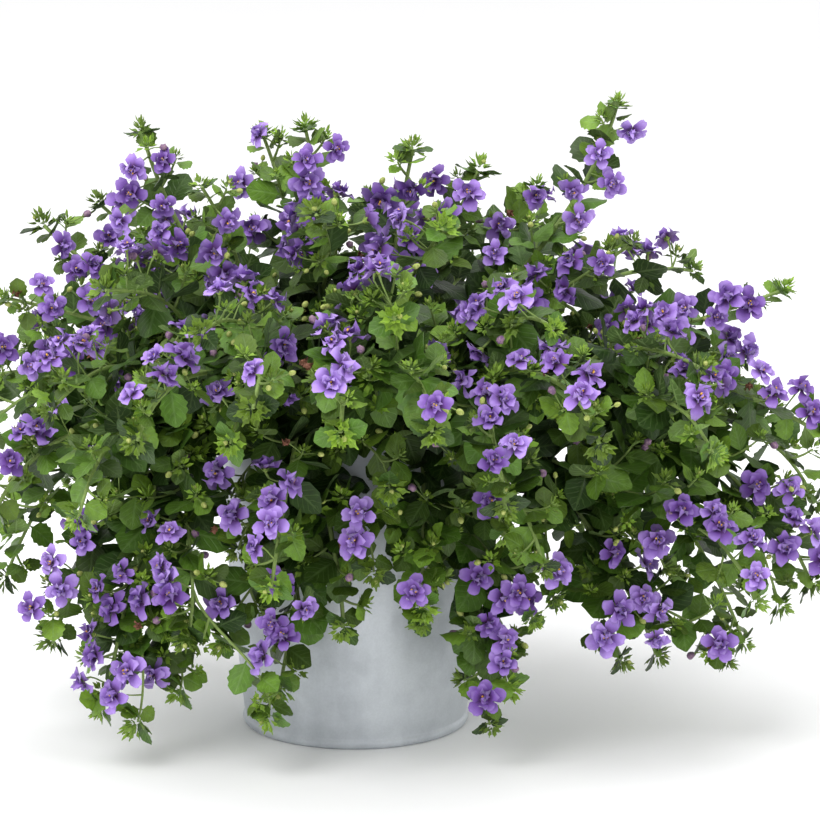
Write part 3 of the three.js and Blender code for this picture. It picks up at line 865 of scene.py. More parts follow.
    def _has_space(self, bloom: Bloom) -> bool:
        """True where a twig's bloom clears the pot and the other blooms, and no twig's end covers it."""
        disc = bloom.disc()
        if near_pot(disc, self.CLEARANCE).any() or not self._has_room(disc):
            return False
        if min(math.dist(bloom.centre, other.centre) for other in self.blooms) < self.habit.crowding:
            return False
        ends = np.array(self.twig_ends) - bloom.centre
        heights = ends @ bloom.face
        before = (heights > -2) & (heights < self.habit.bloom_sight)
        return not (before & ((ends**2).sum(axis=1) - heights**2 < bloom.size**2)).any()


class Skin(Enum):
    """The finishes of the plant, by their place in a plant piece's list of materials."""

    LEAF = 0
    UNDERSIDE = 1
    STEM = 2
    PETAL = 3
    ANTHER = 4
    BUD = 5
    WITHERED = 6
    FURLED = 7


@dataclass(frozen=True)
class BladeForm:
    """The form of one flat organ of unit length along +X that faces +Z.

    `outline` gives the half-width at a share of the length. Each tooth is one step of the outline. `bow`
    rounds the tip and `notch` cuts into its middle. The blade is `thickness` thick in its middle and
    closed at its edges.
    """

    outline: Callable[[float], float]
    steps: int
    lanes: int
    skins: tuple[Skin, Skin]
    teeth: float = 0.0
    thickness: float = 0.04
    fold: float = 0.0
    cup: float = 0.0
    droop: float = 0.0
    ruffle: float = 0.0
    bow: float = 0.0
    notch: float = 0.0
    age: float = 0.0

    FIRST_TOOTH = 2

    def point(self, s: float, t: float, seed: int) -> Vector:
        """A point of the upper side.

        Args:
            s: Its share of the length.
            t: Its place across, from -1 to 1.
            seed: Picks the waves of the surface.

        Returns:
            The point.
        """
        step = round(s * self.steps)
        tooth = 0.0
        if self.FIRST_TOOTH <= step < self.steps and abs(t) > 0.99:
            tooth = self.teeth if (step - self.FIRST_TOOTH) % 2 == 0 else -self.teeth
        across = t * self.outline(s) * (1 + tooth)
        wave = self.ruffle * math.sin(7.0 * s + 2.1 * seed) * t * abs(t) * min(2 * s, 1)
        wave += 0.6 * self.ruffle * math.sin(11.0 * s + 3.7 * seed + 1.3 * t) * abs(t) * s
        height = self.fold * abs(across) - self.cup * across * across - self.droop * s * s + wave
        length = s * (1 - self.bow * t * t * s * s - self.notch * (1 - abs(t)) ** 2 * s**4)
        return Vector((length + 0.16 * tooth * self.teeth, across, height))


GREEN = (Skin.LEAF, Skin.UNDERSIDE)
LILAC = (Skin.PETAL, Skin.PETAL)


def leaf_outline(s: float) -> float:
    """Half the width of an ovate leaf on a short leaf stalk."""
    stalk = 0.1
    if s <= stalk:
        return 0.02 + 0.02 * s / stalk
    return 0.04 + 0.37 * math.sin(math.pi * ((s - stalk) / (1 - stalk)) ** 0.8) ** 0.6 * (1 - 0.04 * s)


def bract_outline(s: float) -> float:
    """Half the width of a narrow young bract with a blunt tip."""
    return 0.04 + 0.16 * math.sin(math.pi * s**0.8)


def petal_outline(s: float) -> float:
    """Half the width of a rounded outer petal on a narrow claw."""
    return 0.07 * (1 - s) + 0.37 * math.sin(0.74 * math.pi * s**1.4) ** 0.85


def petaloid_outline(s: float) -> float:
    """Half the width of a narrow, frilled inner petal."""
    return 0.06 * (1 - s) + 0.29 * math.sin(0.82 * math.pi * s**1.3) ** 0.8


def leaf_form(kind: int, steps: int) -> BladeForm:
    """One variant of the toothed leaf, with a number of steps along its edge."""
    return BladeForm(
        leaf_outline, steps, 2, GREEN, teeth=0.008 * steps, fold=0.34 - 0.14 * kind, cup=0.35 + 0.08 * kind,
        droop=0.06 + 0.1 * draw(kind, 0, 31), ruffle=0.04,
    )


def bract_form(kind: int) -> BladeForm:
    """One variant of the young bract, with a pair of teeth."""
    return BladeForm(
        bract_outline, 4, 2, GREEN, teeth=0.42, thickness=0.07, fold=0.45, droop=-0.2 + 0.16 * kind, age=0.85
    )


def petal_form(kind: int) -> BladeForm:
    """One variant of the outer petal."""
    return BladeForm(
        petal_outline, 3, 4, LILAC, bow=0.16, notch=0.05 * kind, fold=-0.04, cup=0.5 - 0.45 * kind,
        droop=0.02 + 0.09 * kind, ruffle=0.1,
    )


def petaloid_form(kind: int) -> BladeForm:
    """One variant of the inner petal."""
    return BladeForm(
        petaloid_outline, 3, 2, LILAC, thickness=0.06, bow=0.16, notch=0.16, fold=0.5 - 0.5 * kind, cup=0.3,
        droop=0.35 - 0.4 * kind, ruffle=0.24,
    )


SMALL_BRACT = BladeForm(bract_outline, 2, 2, GREEN, thickness=0.08, fold=0.3, droop=-0.16, age=1.0)


@dataclass(frozen=True)
class Whorl:
    """One ring of blades around +Z, sized for a bloom of radius 1, with angles in degrees.

    The blades are spread evenly from `turn` on, and each strays by up to half of `stray`. Lift, size and
    width are each given as the least and the most. `first_draw` picks the directions, and the next two
    numbers the lifts and the sizes. Every `stride`-th of the shapes is taken in turn.
    """

    count: int
    turn: float
    stray: float
    lift: tuple[float, float]
    size: tuple[float, float]
    height: float
    width: tuple[float, float]
    first_draw: int = 0
    stride: int = 1

    WIDTH_DRAW = 65

    def parts(
        self, kind: int, shapes: Sequence[bpy.types.Mesh]
    ) -> Iterator[tuple[bpy.types.Mesh, Matrix]]:
        """The ring's blades for one variant of the whole.

        Args:
            kind: The variant.
            shapes: The shapes to take the blades from.

        Yields:
            Each blade and its place.
        """
        for i in range(self.count):
            way, lift, size = (draw(kind, i, self.first_draw + j) for j in range(3))
            place = radial_place(
                azimuth=self.turn + 360 / self.count * i + self.stray * (way - 0.5),
                lift=between(self.lift, lift),
                size=between(self.size, size),
                height=self.height,
                width=between(self.width, draw(kind, i, self.WIDTH_DRAW)),
            )
            yield shapes[(i * self.stride + kind) % len(shapes)], place


class ShapeMaker:
    """The small shapes that the plant repeats, each made once at unit size."""

    UV_NAME = "blade"
    WELD = 1e-6

    # The rings of a rosette, from the outside in: how many bracts, their length and their lift. The
    # bracts stand round a heart, and the outermost rings are toothed.
    FULL_RINGS = ((8, 0.66, 6), (9, 0.56, 34), (8, 0.46, 60), (4, 0.4, 80))
    TWIG_RINGS = ((7, 0.64, 12), (7, 0.54, 44), (4, 0.42, 72))
    TUFT_HEART = 0.3

    # How far each kind of bloom is cupped, and the rings inside its petals.
    OPENINGS = (4, 12, -4, 22, 8, 34, 0, 16)
    INNER_RING = Whorl(
        6, turn=0, stray=44, lift=(50, 84), size=(0.32, 0.48), height=0.06, width=(1.5, 1.5),
        first_draw=62, stride=2,
    )
    SEPALS = Whorl(5, turn=36, stray=0, lift=(38, 38), size=(0.4, 0.4), height=-0.24, width=(1.4, 1.4))
    BUD_SEPALS = Whorl(4, turn=0, stray=0, lift=(64, 64), size=(0.6, 0.6), height=0.02, width=(1.9, 1.9))
    GRAINS = 3

    def __init__(self) -> None:
        """Makes every shape, with a few variants of each."""
        self.leaves = self._variants("leaf", 5, 0, lambda kind: leaf_form(kind, 10))
        self.plain_leaves = self._variants("plain_leaf", 4, 0, lambda kind: leaf_form(kind, 6))
        self.bracts = self._variants("bract", 3, 10, bract_form)
        self.small_bract = self._blade("small_bract", SMALL_BRACT, 9)
        self.petals = self._variants("petal", 4, 20, petal_form)
        self.petaloids = self._variants("petaloid", 3, 30, petaloid_form)
        self.grain = self._ball("grain", Skin.ANTHER)
        self.tiny_bud = self._ball("tiny_bud", Skin.BUD)
        self.closed_petals = self._closed_petals()
        self.rosettes = [self._rosette(kind, full=True) for kind in range(4)]
        self.small_rosettes = [self._rosette(kind + 5, full=False) for kind in range(5)]
        self.blooms = [self._bloom(kind) for kind in range(len(self.OPENINGS))]
        self.bud = self._green_bud()
        self.purple_bud = self._purple_bud()
        self.withered = self._withered()

    def _variants(
        self, name: str, count: int, seed: int, form: Callable[[int], BladeForm]
    ) -> list[bpy.types.Mesh]:
        """Makes a number of variants of one organ, each of its own form and waves."""
        return [self._blade(f"{name}_{kind}", form(kind), kind + seed) for kind in range(count)]

    def _blade(self, name: str, form: BladeForm, seed: int) -> bpy.types.Mesh:
        """Makes one flat organ: a grid drawn to its outline, doubled and closed at its edges.

        Args:
            name: The mesh's name.
            form: The organ's form.
            seed: Picks the waves of its surface.

        Returns:
            The mesh.
        """
        bm = bmesh.new()
        bmesh.ops.create_grid(bm, x_segments=form.steps, y_segments=form.lanes, size=0.5)
        uv = bm.loops.layers.uv.new(self.UV_NAME)
        bm.verts.layers.float.new("tone")
        age = bm.verts.layers.float.new("age")
        shares = {vert: (vert.co.x + 0.5, 2 * vert.co.y) for vert in bm.verts}
        for face in bm.faces:
            face.smooth = True
            face.material_index = form.skins[0].value
            for loop in face.loops:
                loop[uv].uv = shares[loop.vert]
        depths = {}
        for vert, (s, t) in shares.items():
            vert.co = form.point(s, t, seed)
            vert[age] = form.age
            depths[vert.index] = form.thickness * (1 - t * t) * min(1.0, form.outline(s) / 0.2)
        bm.verts.index_update()
        top = list(bm.verts)
        copy = bmesh.ops.duplicate(bm, geom=bm.verts[:] + bm.edges[:] + bm.faces[:])
        under = copy["vert_map"]
        for vert in top:
            under[vert].co.z -= depths[vert.index]
        lower = [item for item in copy["geom"] if isinstance(item, bmesh.types.BMFace)]
        bmesh.ops.reverse_faces(bm, faces=lower)
        for face in lower:
            face.material_index = form.skins[1].value
        bmesh.ops.remove_doubles(bm, verts=bm.verts[:], dist=self.WELD)
        lower = {face for face in lower if face.is_valid}
        for edge in bm.edges:
            if len({face in lower for face in edge.link_faces}) == 2:
                edge.smooth = False
        return kept(bm, name)

    def _ball(self, name: str, skin: Skin) -> bpy.types.Mesh:
        """A small round body of radius 1."""
        bm = bmesh.new()
        bmesh.ops.create_icosphere(bm, subdivisions=1, radius=1.0)
        return kept(self._skinned(bm, skin), name)

    def _closed_petals(self) -> bpy.types.Mesh:
        """The furled petals of a bud about to open: a pointed, twisted drop of unit length."""
        bm = bmesh.new()
        bmesh.ops.create_uvsphere(bm, u_segments=10, v_segments=7, radius=0.5)
        for vert in bm.verts:
            up = vert.co.z + 0.5
            angle = math.atan2(vert.co.y, vert.co.x)
            reach = math.hypot(vert.co.x, vert.co.y) * (0.75 + 0.5 * up) * (1 + 0.16 * math.sin(5 * angle))
            turn = angle + 0.9 * up
            vert.co = Vector((reach * math.cos(turn), reach * math.sin(turn), up))
        return kept(self._skinned(bm, Skin.FURLED), "closed_petals")

    def _skinned(self, bm: bmesh.types.BMesh, skin: Skin) -> bmesh.types.BMesh:
        """Gives a body smooth faces, one finish and the layers that every shape has."""
        uv = bm.loops.layers.uv.new(self.UV_NAME)
        bm.verts.layers.float.new("age")
        bm.verts.layers.float.new("tone")
        for face in bm.faces:
            face.smooth = True
            face.material_index = skin.value
            for loop in face.loops:
                loop[uv].uv = (0.5 + 0.4 * loop.vert.co.z, 0.5)
        return bm

    @staticmethod
    def _gathered(name: str, parts: Sequence[tuple]) -> bpy.types.Mesh:
        """Joins placed copies of shapes in one shape. A part may give its age too."""
        bm = bmesh.new()
        for shape, place, *age in parts:
            append_copy(bm, shape, place, age=age[0] if age else None)
        return kept(bm, name)

    def _rosette(self, kind: int, full: bool) -> bpy.types.Mesh:
        """A rosette of young bracts of radius 1 that opens towards +Z.

        Args:
            kind: The variant.
            full: True for the dense rosette of a shoot, False for the plainer one of a twig.

        Returns:
            The mesh.
        """
        parts = []
        for row, (count, size, lift) in enumerate(self.FULL_RINGS if full else self.TWIG_RINGS):
            for i in range(count):
                turn, rise, length, out, youth = (draw(kind, 10 * row + i, j) for j in (41, 42, 43, 45, 46))
                azimuth = 360 / count * i + 37 * row + 30 * (turn - 0.5)
                bract = self.small_bract if row > full else self.bracts[(i + kind) % len(self.bracts)]
                place = radial_place(
                    azimuth, lift + 34 * (rise - 0.5), size * (0.72 + 0.5 * length), 0.12 * row, 1.15,
                    self.TUFT_HEART * (0.6 + 0.8 * out),
                )
                parts.append((bract, place, min(0.5 + 0.2 * row + 0.2 * youth, 1.0)))
        if full:
            for i in range(2):
                lift = 12 + 10 * draw(kind, i, 44)
                parts.append((self.leaves[i], radial_place(180 * i + 60, lift, 1.4, height=-0.15)))
        if kind % 3 == 0:
            parts.append((self.tiny_bud, Matrix.Translation((0.22, 0.12, 0.62)) @ Matrix.Scale(0.15, 4)))
        return self._gathered(f"rosette_{kind}", parts)

    def _bloom(self, kind: int) -> bpy.types.Mesh:
        """A double bloom of radius 1 that faces +Z, one petal towards +X.

        Args:
            kind: The variant, from nearly flat to half cupped.

        Returns:
            The mesh.
        """
        cup = self.OPENINGS[kind]
        petals = Whorl(
            5, turn=0, stray=16, lift=(cup - 13, cup + 13), size=(0.9072, 1.1232), height=0,
            width=(0.82, 1.02), first_draw=51, stride=3,
        )
        frill = Whorl(
            6, turn=36, stray=40, lift=(cup + 12, cup + 42), size=(0.66, 0.9), height=0.05,
            width=(1.15, 1.15), first_draw=54,
        )
        parts = [*petals.parts(kind, self.petals), *frill.parts(kind, self.petaloids)]
        parts += self.INNER_RING.parts(kind, self.petaloids)
        for i in range(self.GRAINS):
            azimuth = math.radians(360 / self.GRAINS * i + 60 * draw(kind, i, 57))
            reach = 0.05 + 0.09 * draw(kind, i, 58)
            grain = Matrix.Translation((reach * math.cos(azimuth), reach * math.sin(azimuth), 0.3))
            parts.append((self.grain, grain @ Matrix.Diagonal((0.065, 0.065, 0.1, 1))))
        parts += self.SEPALS.parts(kind, (self.small_bract,))
        throat = Matrix.Translation((0, 0, -0.1)) @ Matrix.Diagonal((0.13, 0.13, 0.16, 1))
        return self._gathered(f"bloom_{kind}", [*parts, (self.tiny_bud, throat)])

    def _green_bud(self) -> bpy.types.Mesh:
        """A closed green bud of unit length along +Z, a little pointed."""
        bm = bmesh.new()
        bmesh.ops.create_uvsphere(bm, u_segments=8, v_segments=5, radius=0.5)
        for vert in bm.verts:
            up = vert.co.z + 0.5
            slim = 0.86 - 0.22 * up
            vert.co = Vector((vert.co.x * slim, vert.co.y * slim, up))
        return kept(self._skinned(bm, Skin.BUD), "green_bud")

    def _purple_bud(self) -> bpy.types.Mesh:
        """A bud of unit length along +Z whose furled petals show above its sepals."""
        petals = Matrix.Translation((0, 0, 0.15)) @ Matrix.Diagonal((0.7, 0.7, 0.95, 1))
        sepals = self.BUD_SEPALS.parts(0, (self.small_bract,))
        return self._gathered("purple_bud", [*sepals, (self.closed_petals, petals)])

    def _withered(self) -> bpy.types.Mesh:
        """A spent bloom: its petals shrunk and folded to a small brown tuft."""
        parts = []
        for i in range(7):
            place = radial_place(51 * i, 40 + 30 * draw(i, 0, 61), 0.75 + 0.3 * draw(i, 1, 61), width=0.8)
            parts.append((self.petaloids[i % 3], place))
        mesh = self._gathered("withered", parts)
        for polygon in mesh.polygons:
            polygon.material_index = Skin.WITHERED.value
        return mesh


def kept(bm: bmesh.types.BMesh, name: str) -> bpy.types.Mesh:
    """Turns a finished bmesh into a mesh."""
    mesh = bpy.data.meshes.new(name)
    bm.to_mesh(mesh)
    bm.free()
    return mesh


def radial_place(
    azimuth: float, lift: float, size: float, height: float = 0.0, width: float = 1.0, away: float = 0.0
) -> Matrix:
    """Where a unit blade stands in a whorl around +Z.

    Args:
        azimuth: The direction that it points in, in degrees.
        lift: How far its tip is raised, in degrees.
        size: Its length.
        height: How far along +Z its foot is.
        width: Its breadth as a share of the usual.
        away: How far out along its own direction its foot is.

    Returns:
        The transform.
    """
    turn = Matrix.Rotation(math.radians(azimuth), 4, "Z") @ Matrix.Rotation(-math.radians(lift), 4, "Y")
    shape = Matrix.Translation((away, 0, 0)) @ Matrix.Diagonal((size, size * width, size, 1))
    return Matrix.Translation((0, 0, height)) @ turn @ shape


def append_copy(
    bm: bmesh.types.BMesh, shape: bpy.types.Mesh, place: Matrix, tone: float | None = None,
    age: float | None = None,
) -> None:
    """Adds a placed copy of a shape to a bmesh.

    Args:
        bm: Where the copy goes.
        shape: The shape.
        place: Its transform.
        tone: The copy's own shade, from 0 to 1, or None to keep the shape's; for a leaf deep in the plant it
            is also lowered as painted shade.
        age: The copy's youth, from 0, mature, to 1, young, or None to keep the shape's.
    """
    copy = shape.copy()
    copy.transform(place)
    for name, value in (("tone", tone), ("age", age)):
        if value is not None:
            copy.attributes[name].data.foreach_set("value", [value] * len(copy.vertices))
    bm.from_mesh(copy)
    bpy.data.meshes.remove(copy)


class Wire:
    """A value in a material, with the arithmetic that the finishes use. Each operation adds a node."""

    def __init__(self, sheet: Sheet, socket: bpy.types.NodeSocket) -> None:
        """Wraps one output socket."""
        self.sheet = sheet
        self.socket = socket

    def _math(self, operation: str, *operands: Wire | float) -> Wire:
        """Adds one Math node."""
        return self.sheet.node("ShaderNodeMath", {"operation": operation}, dict(enumerate(operands)))

    def __add__(self, other: Wire | float) -> Wire:
        """The sum."""
        return self._math("ADD", self, other)

    def __sub__(self, other: Wire | float) -> Wire:
        """The difference."""
        return self._math("SUBTRACT", self, other)

    def __rsub__(self, other: float) -> Wire:
        """A number less this value."""
        return self._math("SUBTRACT", other, self)

    def __mul__(self, other: Wire | float) -> Wire:
        """The product."""
        return self._math("MULTIPLY", self, other)

    def __abs__(self) -> Wire:
        """The size without its sign."""
        return self._math("ABSOLUTE", self)

    __radd__ = __add__
    __rmul__ = __mul__

    def top(self, other: Wire | float) -> Wire:
        """The larger of two values."""
        return self._math("MAXIMUM", self, other)

    def fraction(self) -> Wire:
        """What is left over a whole number."""
        return self._math("FRACT", self)

    def rise(self, low: float, high: float, start: float = 0.0, end: float = 1.0) -> Wire:
        """A smooth change from start to end as this value goes from low to high."""
        limits = {"Value": self, "From Min": low, "From Max": high, "To Min": start, "To Max": end}
        return self.sheet.node("ShaderNodeMapRange", {"interpolation_type": "SMOOTHSTEP"}, limits)


class Sheet:
    """One material under construction, around a Principled shader."""

    def __init__(self, name: str, **constants: float | Colour) -> None:
        """Starts a material.

        Args:
            name: The material's name.
            constants: Values for the shader's own sockets, with _ for a space.
        """
        self.material = bpy.data.materials.new(name)
        self.material.use_nodes = True
        self.nodes = self.material.node_tree.nodes
        self.links = self.material.node_tree.links
        self.shader = self.nodes["Principled BSDF"]
        for key, value in constants.items():
            self.put(self.shader, key.replace("_", " "), value)

    def put(self, node: bpy.types.Node, key: str | int, value: Wire | float | Colour | Vector) -> None:
        """Sets or links one input socket."""
        socket = node.inputs[key]
        if isinstance(value, Wire):
            self.links.new(value.socket, socket)
        elif socket.type == "RGBA":
            socket.default_value = (*value, 1.0)
        else:
            socket.default_value = value

    def node(
        self, kind: str, settings: dict[str, object] | None = None, inputs: dict | None = None,
        output: int | str = 0,
    ) -> Wire:
        """Adds any node.

        Args:
            kind: The node's type.
            settings: Its settings, set before its sockets.
            inputs: The values or links of its sockets, by name or number.
            output: Which output is returned.

        Returns:
            That output.
        """
        node = self.nodes.new(kind)
        for key, value in (settings or {}).items():
            setattr(node, key, value)
        for key, value in (inputs or {}).items():
            self.put(node, key, value)
        return Wire(self, node.outputs[output])

    def blade(self) -> tuple[Wire, Wire]:
        """How far along and across its own blade a point is: 0 to 1, and -1 to 1."""
        place = self.node("ShaderNodeUVMap", {"uv_map": ShapeMaker.UV_NAME})
        parts = {"Vector": place}
        along = self.node("ShaderNodeSeparateXYZ", None, parts, "X")
        return along, self.node("ShaderNodeSeparateXYZ", None, parts, "Y")

    def mark(self, name: str) -> Wire:
        """One of the numbers that each copy of a shape carries."""
        return self.node("ShaderNodeAttribute", {"attribute_name": name}, None, "Fac")

    def place(self) -> Wire:
        """The point's place in the object's own frame."""
        return self.node("ShaderNodeTexCoord", None, None, "Object")

    def stretched(self, scale: tuple[float, float, float]) -> Wire:
        """The point's place, scaled along each axis."""
        return self.node("ShaderNodeMapping", None, {"Vector": self.place(), "Scale": Vector(scale)})

    def cloud(
        self, scale: float, detail: float = 3.0, vector: Wire | None = None, rough: float = 0.5
    ) -> Wire:
        """Soft noise from 0 to 1, of about `scale` patches a metre."""
        sockets = {"Vector": vector or self.place(), "Scale": scale, "Detail": detail, "Roughness": rough}
        return self.node("ShaderNodeTexNoise", None, sockets)

    def blend(self, share: Wire | float, first: Wire | Colour, second: Wire | Colour) -> Wire:
        """A colour between two."""
        return self.node("ShaderNodeMix", {"data_type": "RGBA"}, {0: share, 6: first, 7: second}, 2)

    def shaded(self, colour: Wire, value: Wire | float, strength: Wire | float = 1.0) -> Wire:
        """A colour made lighter or darker, and more or less strong."""
        sockets = {"Color": colour, "Value": value, "Saturation": strength}
        return self.node("ShaderNodeHueSaturation", None, sockets)

    def relief(self, height: Wire, depth: float, strength: float = 1.0) -> None:
        """Lets a height from 0 to 1 raise the surface by up to a depth, in metres."""
        sockets = {"Height": height, "Distance": depth, "Strength": strength}
        self.put(self.shader, "Normal", self.node("ShaderNodeBump", None, sockets))

    def finish(self, colour: Wire, roughness: Wire) -> bpy.types.Material:
        """Links the colour and the roughness, and hands over the material."""
        self.put(self.shader, "Base Color", colour)
        self.put(self.shader, "Roughness", roughness)
        return self.material


@dataclass(frozen=True)
class LeafFinish:
    """The upper or lower skin of the leaves, with its veins."""

    name: str
    mature: Colour
    aged: Colour
    young: Colour
    vein: Colour
    vein_share: float
    roughness: float

    def make(self) -> bpy.types.Material:
        """Builds the material, with side veins from the midrib to the teeth and yellower young leaves."""
        sheet = Sheet(self.name, Specular_IOR_Level=0.32)
        along, across = sheet.blade()
        side = abs(across)
        midrib = 1 - side.rise(0.03, 0.13)
        ripple = abs((6.0 * (along - 0.34 * side)).fraction() - 0.5)
        side_veins = (1 - ripple.rise(0.02, 0.16)) * side.rise(0.75, 1.0, 1.0, 0.0)
        veins = midrib.top(0.7 * side_veins)
        age = sheet.mark("age")
        tone = sheet.mark("tone")
        patches = sheet.cloud(260, 4)
        # A low tone gives the darker green and a lower brightness. The leaves deep in the plant carry a low
        # tone, so this paints shade inside the bush as well as random variation.
        green = sheet.blend(tone.rise(0.0, 1.0), self.mature, self.aged)
        green = sheet.blend(age, green, self.young)
        green = sheet.blend(self.vein_share * veins, green, self.vein)
        shade = patches.rise(0.25, 0.75, 0.8, 1.16) * tone.rise(0.0, 1.0, 0.76, 1.4)
        green = sheet.shaded(green, shade)
        sheet.relief(patches * 0.5 + (1 - veins) * 0.5, 0.0005, 0.55)
        return sheet.finish(green, patches.rise(0.2, 0.8, self.roughness - 0.07, self.roughness + 0.09))


@dataclass(frozen=True)
class PetalFinish:
    """The lilac petals: dark at the throat, veined, and paler towards their edges."""

    throat: Colour = srgb(84, 34, 92)
    body: Colour = srgb(140, 102, 190)
    edge: Colour = srgb(176, 146, 220)
    vein: Colour = srgb(104, 64, 150)

    def make(self) -> bpy.types.Material:
        """Builds the material from each petal's own length and breadth."""
        sheet = Sheet("lilac_petal", Specular_IOR_Level=0.3, Sheen_Weight=0.15, Sheen_Roughness=0.5)
        along, across = sheet.blade()
        tone = sheet.mark("tone")
        mottle = sheet.cloud(420, 3)
        lilac = sheet.blend(along.rise(0.1, 0.62), self.throat, self.body)
        lilac = sheet.blend(along.rise(0.5, 1.0, 0.0, 0.75), lilac, self.edge)
        fan = abs((7.0 * across * (1.25 - 0.5 * along)).fraction() - 0.5)
        veins = (1 - fan.rise(0.03, 0.2)) * along.rise(0.35, 0.95, 0.5, 0.0)
        lilac = sheet.blend(veins, lilac, self.vein)
        shade = tone.rise(0.0, 1.0, 0.66, 1.16) * mottle.rise(0.3, 0.7, 0.93, 1.06)
        lilac = sheet.shaded(lilac, shade, tone.rise(0.0, 1.0, 1.1, 0.94))
        sheet.relief(mottle * 0.6 + (1 - veins) * 0.4, 0.0003, 0.4)
        return sheet.finish(lilac, mottle.rise(0.2, 0.8, 0.5, 0.66))


@dataclass(frozen=True)
class StemFinish:
    """The stems: fresh green at the tips, browner and darker towards the soil."""

    tip: Colour = srgb(128, 152, 80)
    foot: Colour = srgb(66, 76, 38)

    def make(self) -> bpy.types.Material:
        """Builds the material from the distance to the plant's heart."""
        sheet = Sheet("green_stem", Specular_IOR_Level=0.35)
        ends = {0: sheet.place(), 1: Vector(HEART) * MM}
        offset = sheet.node("ShaderNodeVectorMath", {"operation": "SUBTRACT"}, ends)
        away = sheet.node("ShaderNodeVectorMath", {"operation": "LENGTH"}, {0: offset}, "Value")
        streaks = sheet.cloud(300, 3, rough=0.6)
        green = sheet.blend(away.rise(0.04, 0.19), self.foot, self.tip)
        green = sheet.shaded(green, streaks.rise(0.2, 0.8, 0.75, 1.2))
        sheet.relief(streaks, 0.0002, 0.6)
        return sheet.finish(green, streaks.rise(0.2, 0.8, 0.5, 0.68))


@dataclass(frozen=True)
class SpeckledFinish:
    """A small plain organ or crumb of two close colours."""

    name: str
    first: Colour
    second: Colour
    roughness: float
    scale: float = 700
    depth: float = 0.0002

    def make(self) -> bpy.types.Material:
        """Builds the material from fine noise."""
        sheet = Sheet(self.name, Specular_IOR_Level=0.3)
        specks = sheet.cloud(self.scale, 3, rough=0.6)
        colour = sheet.blend(specks.rise(0.35, 0.65), self.first, self.second)
        sheet.relief(specks, self.depth, 0.6)
        return sheet.finish(colour, specks.rise(0.2, 0.8, self.roughness - 0.08, self.roughness + 0.08))


@dataclass(frozen=True)
class ZincFinish:
    """Galvanised sheet: pale, cloudy, softly reflecting zinc with faint vertical run marks."""

    bright: Colour = srgb(203, 208, 213)
    dull: Colour = srgb(178, 183, 189)

    def make(self) -> bpy.types.Material:
        """Builds the material."""
        sheet = Sheet("galvanised_zinc", Specular_IOR_Level=0.5)
        clouds = sheet.cloud(22, 5, rough=0.6)
        runs = sheet.cloud(1.0, 4, sheet.stretched((90, 90, 9)))
        grains = sheet.cloud(900, 2)
        cloudy = clouds * 0.82 + runs * 0.18
        zinc = sheet.blend(cloudy.rise(0.35, 0.65), self.dull, self.bright)
        zinc = sheet.shaded(zinc, grains.rise(0.2, 0.8, 0.96, 1.03))
        sheet.put(sheet.shader, "Metallic", clouds.rise(0.3, 0.7, 0.4, 0.5))
        sheet.relief(clouds * 0.8 + grains * 0.2, 0.0003, 0.35)
        return sheet.finish(zinc, cloudy.rise(0.3, 0.7, 0.58, 0.48))


@dataclass(frozen=True)
class SoilFinish:
    """Moist potting soil: dark peat with lighter bark crumbs."""

    peat: Colour = srgb(38, 27, 18)
    bark: Colour = srgb(92, 66, 44)

    def make(self) -> bpy.types.Material:
        """Builds the material."""
        sheet = Sheet("potting_soil", Specular_IOR_Level=0.2)
        crumbs = sheet.cloud(240, 6, rough=0.7)
        lumps = sheet.cloud(60, 4)
        soil = sheet.blend((crumbs * 0.7 + lumps * 0.3).rise(0.48, 0.72), self.peat, self.bark)
        sheet.relief(crumbs, 0.0015, 0.9)
        return sheet.finish(soil, lumps.rise(0.2, 0.8, 0.82, 0.97))


@dataclass(frozen=True)
class FloorFinish:
    """The plain pale floor."""

    pale: Colour = srgb(247, 247, 248)
    paler: Colour = srgb(251, 251, 251)

    def make(self) -> bpy.types.Material:
        """Builds the material."""
        sheet = Sheet("pale_floor", Specular_IOR_Level=0.1)
        clouds = sheet.cloud(1.5, 2)
        return sheet.finish(sheet.blend(clouds, self.pale, self.paler), clouds.rise(0.0, 1.0, 0.85, 0.95))


def plant_finishes() -> list[bpy.types.Material]:
    """The plant's materials, in the order of Skin."""
    upper = LeafFinish(
        "leaf_upper", mature=srgb(35, 61, 15), aged=srgb(73, 107, 33), young=srgb(130, 162, 48),
        vein=srgb(104, 132, 74), vein_share=0.35, roughness=0.44,
    )
    lower = LeafFinish(
        "leaf_lower", mature=srgb(62, 86, 44), aged=srgb(82, 108, 54), young=srgb(130, 158, 70),
        vein=srgb(140, 164, 104), vein_share=0.6, roughness=0.62,
    )
    return [
        upper.make(),
        lower.make(),
        StemFinish().make(),
        PetalFinish().make(),
        SpeckledFinish("anther", srgb(246, 206, 78), srgb(226, 158, 52), 0.6).make(),
        SpeckledFinish("green_bud", srgb(142, 158, 74), srgb(176, 182, 108), 0.55).make(),
        SpeckledFinish("withered_petal", srgb(104, 66, 44), srgb(146, 100, 84), 0.8).make(),
        SpeckledFinish("furled_petal", srgb(112, 82, 120), srgb(150, 122, 138), 0.6).make(),
    ]


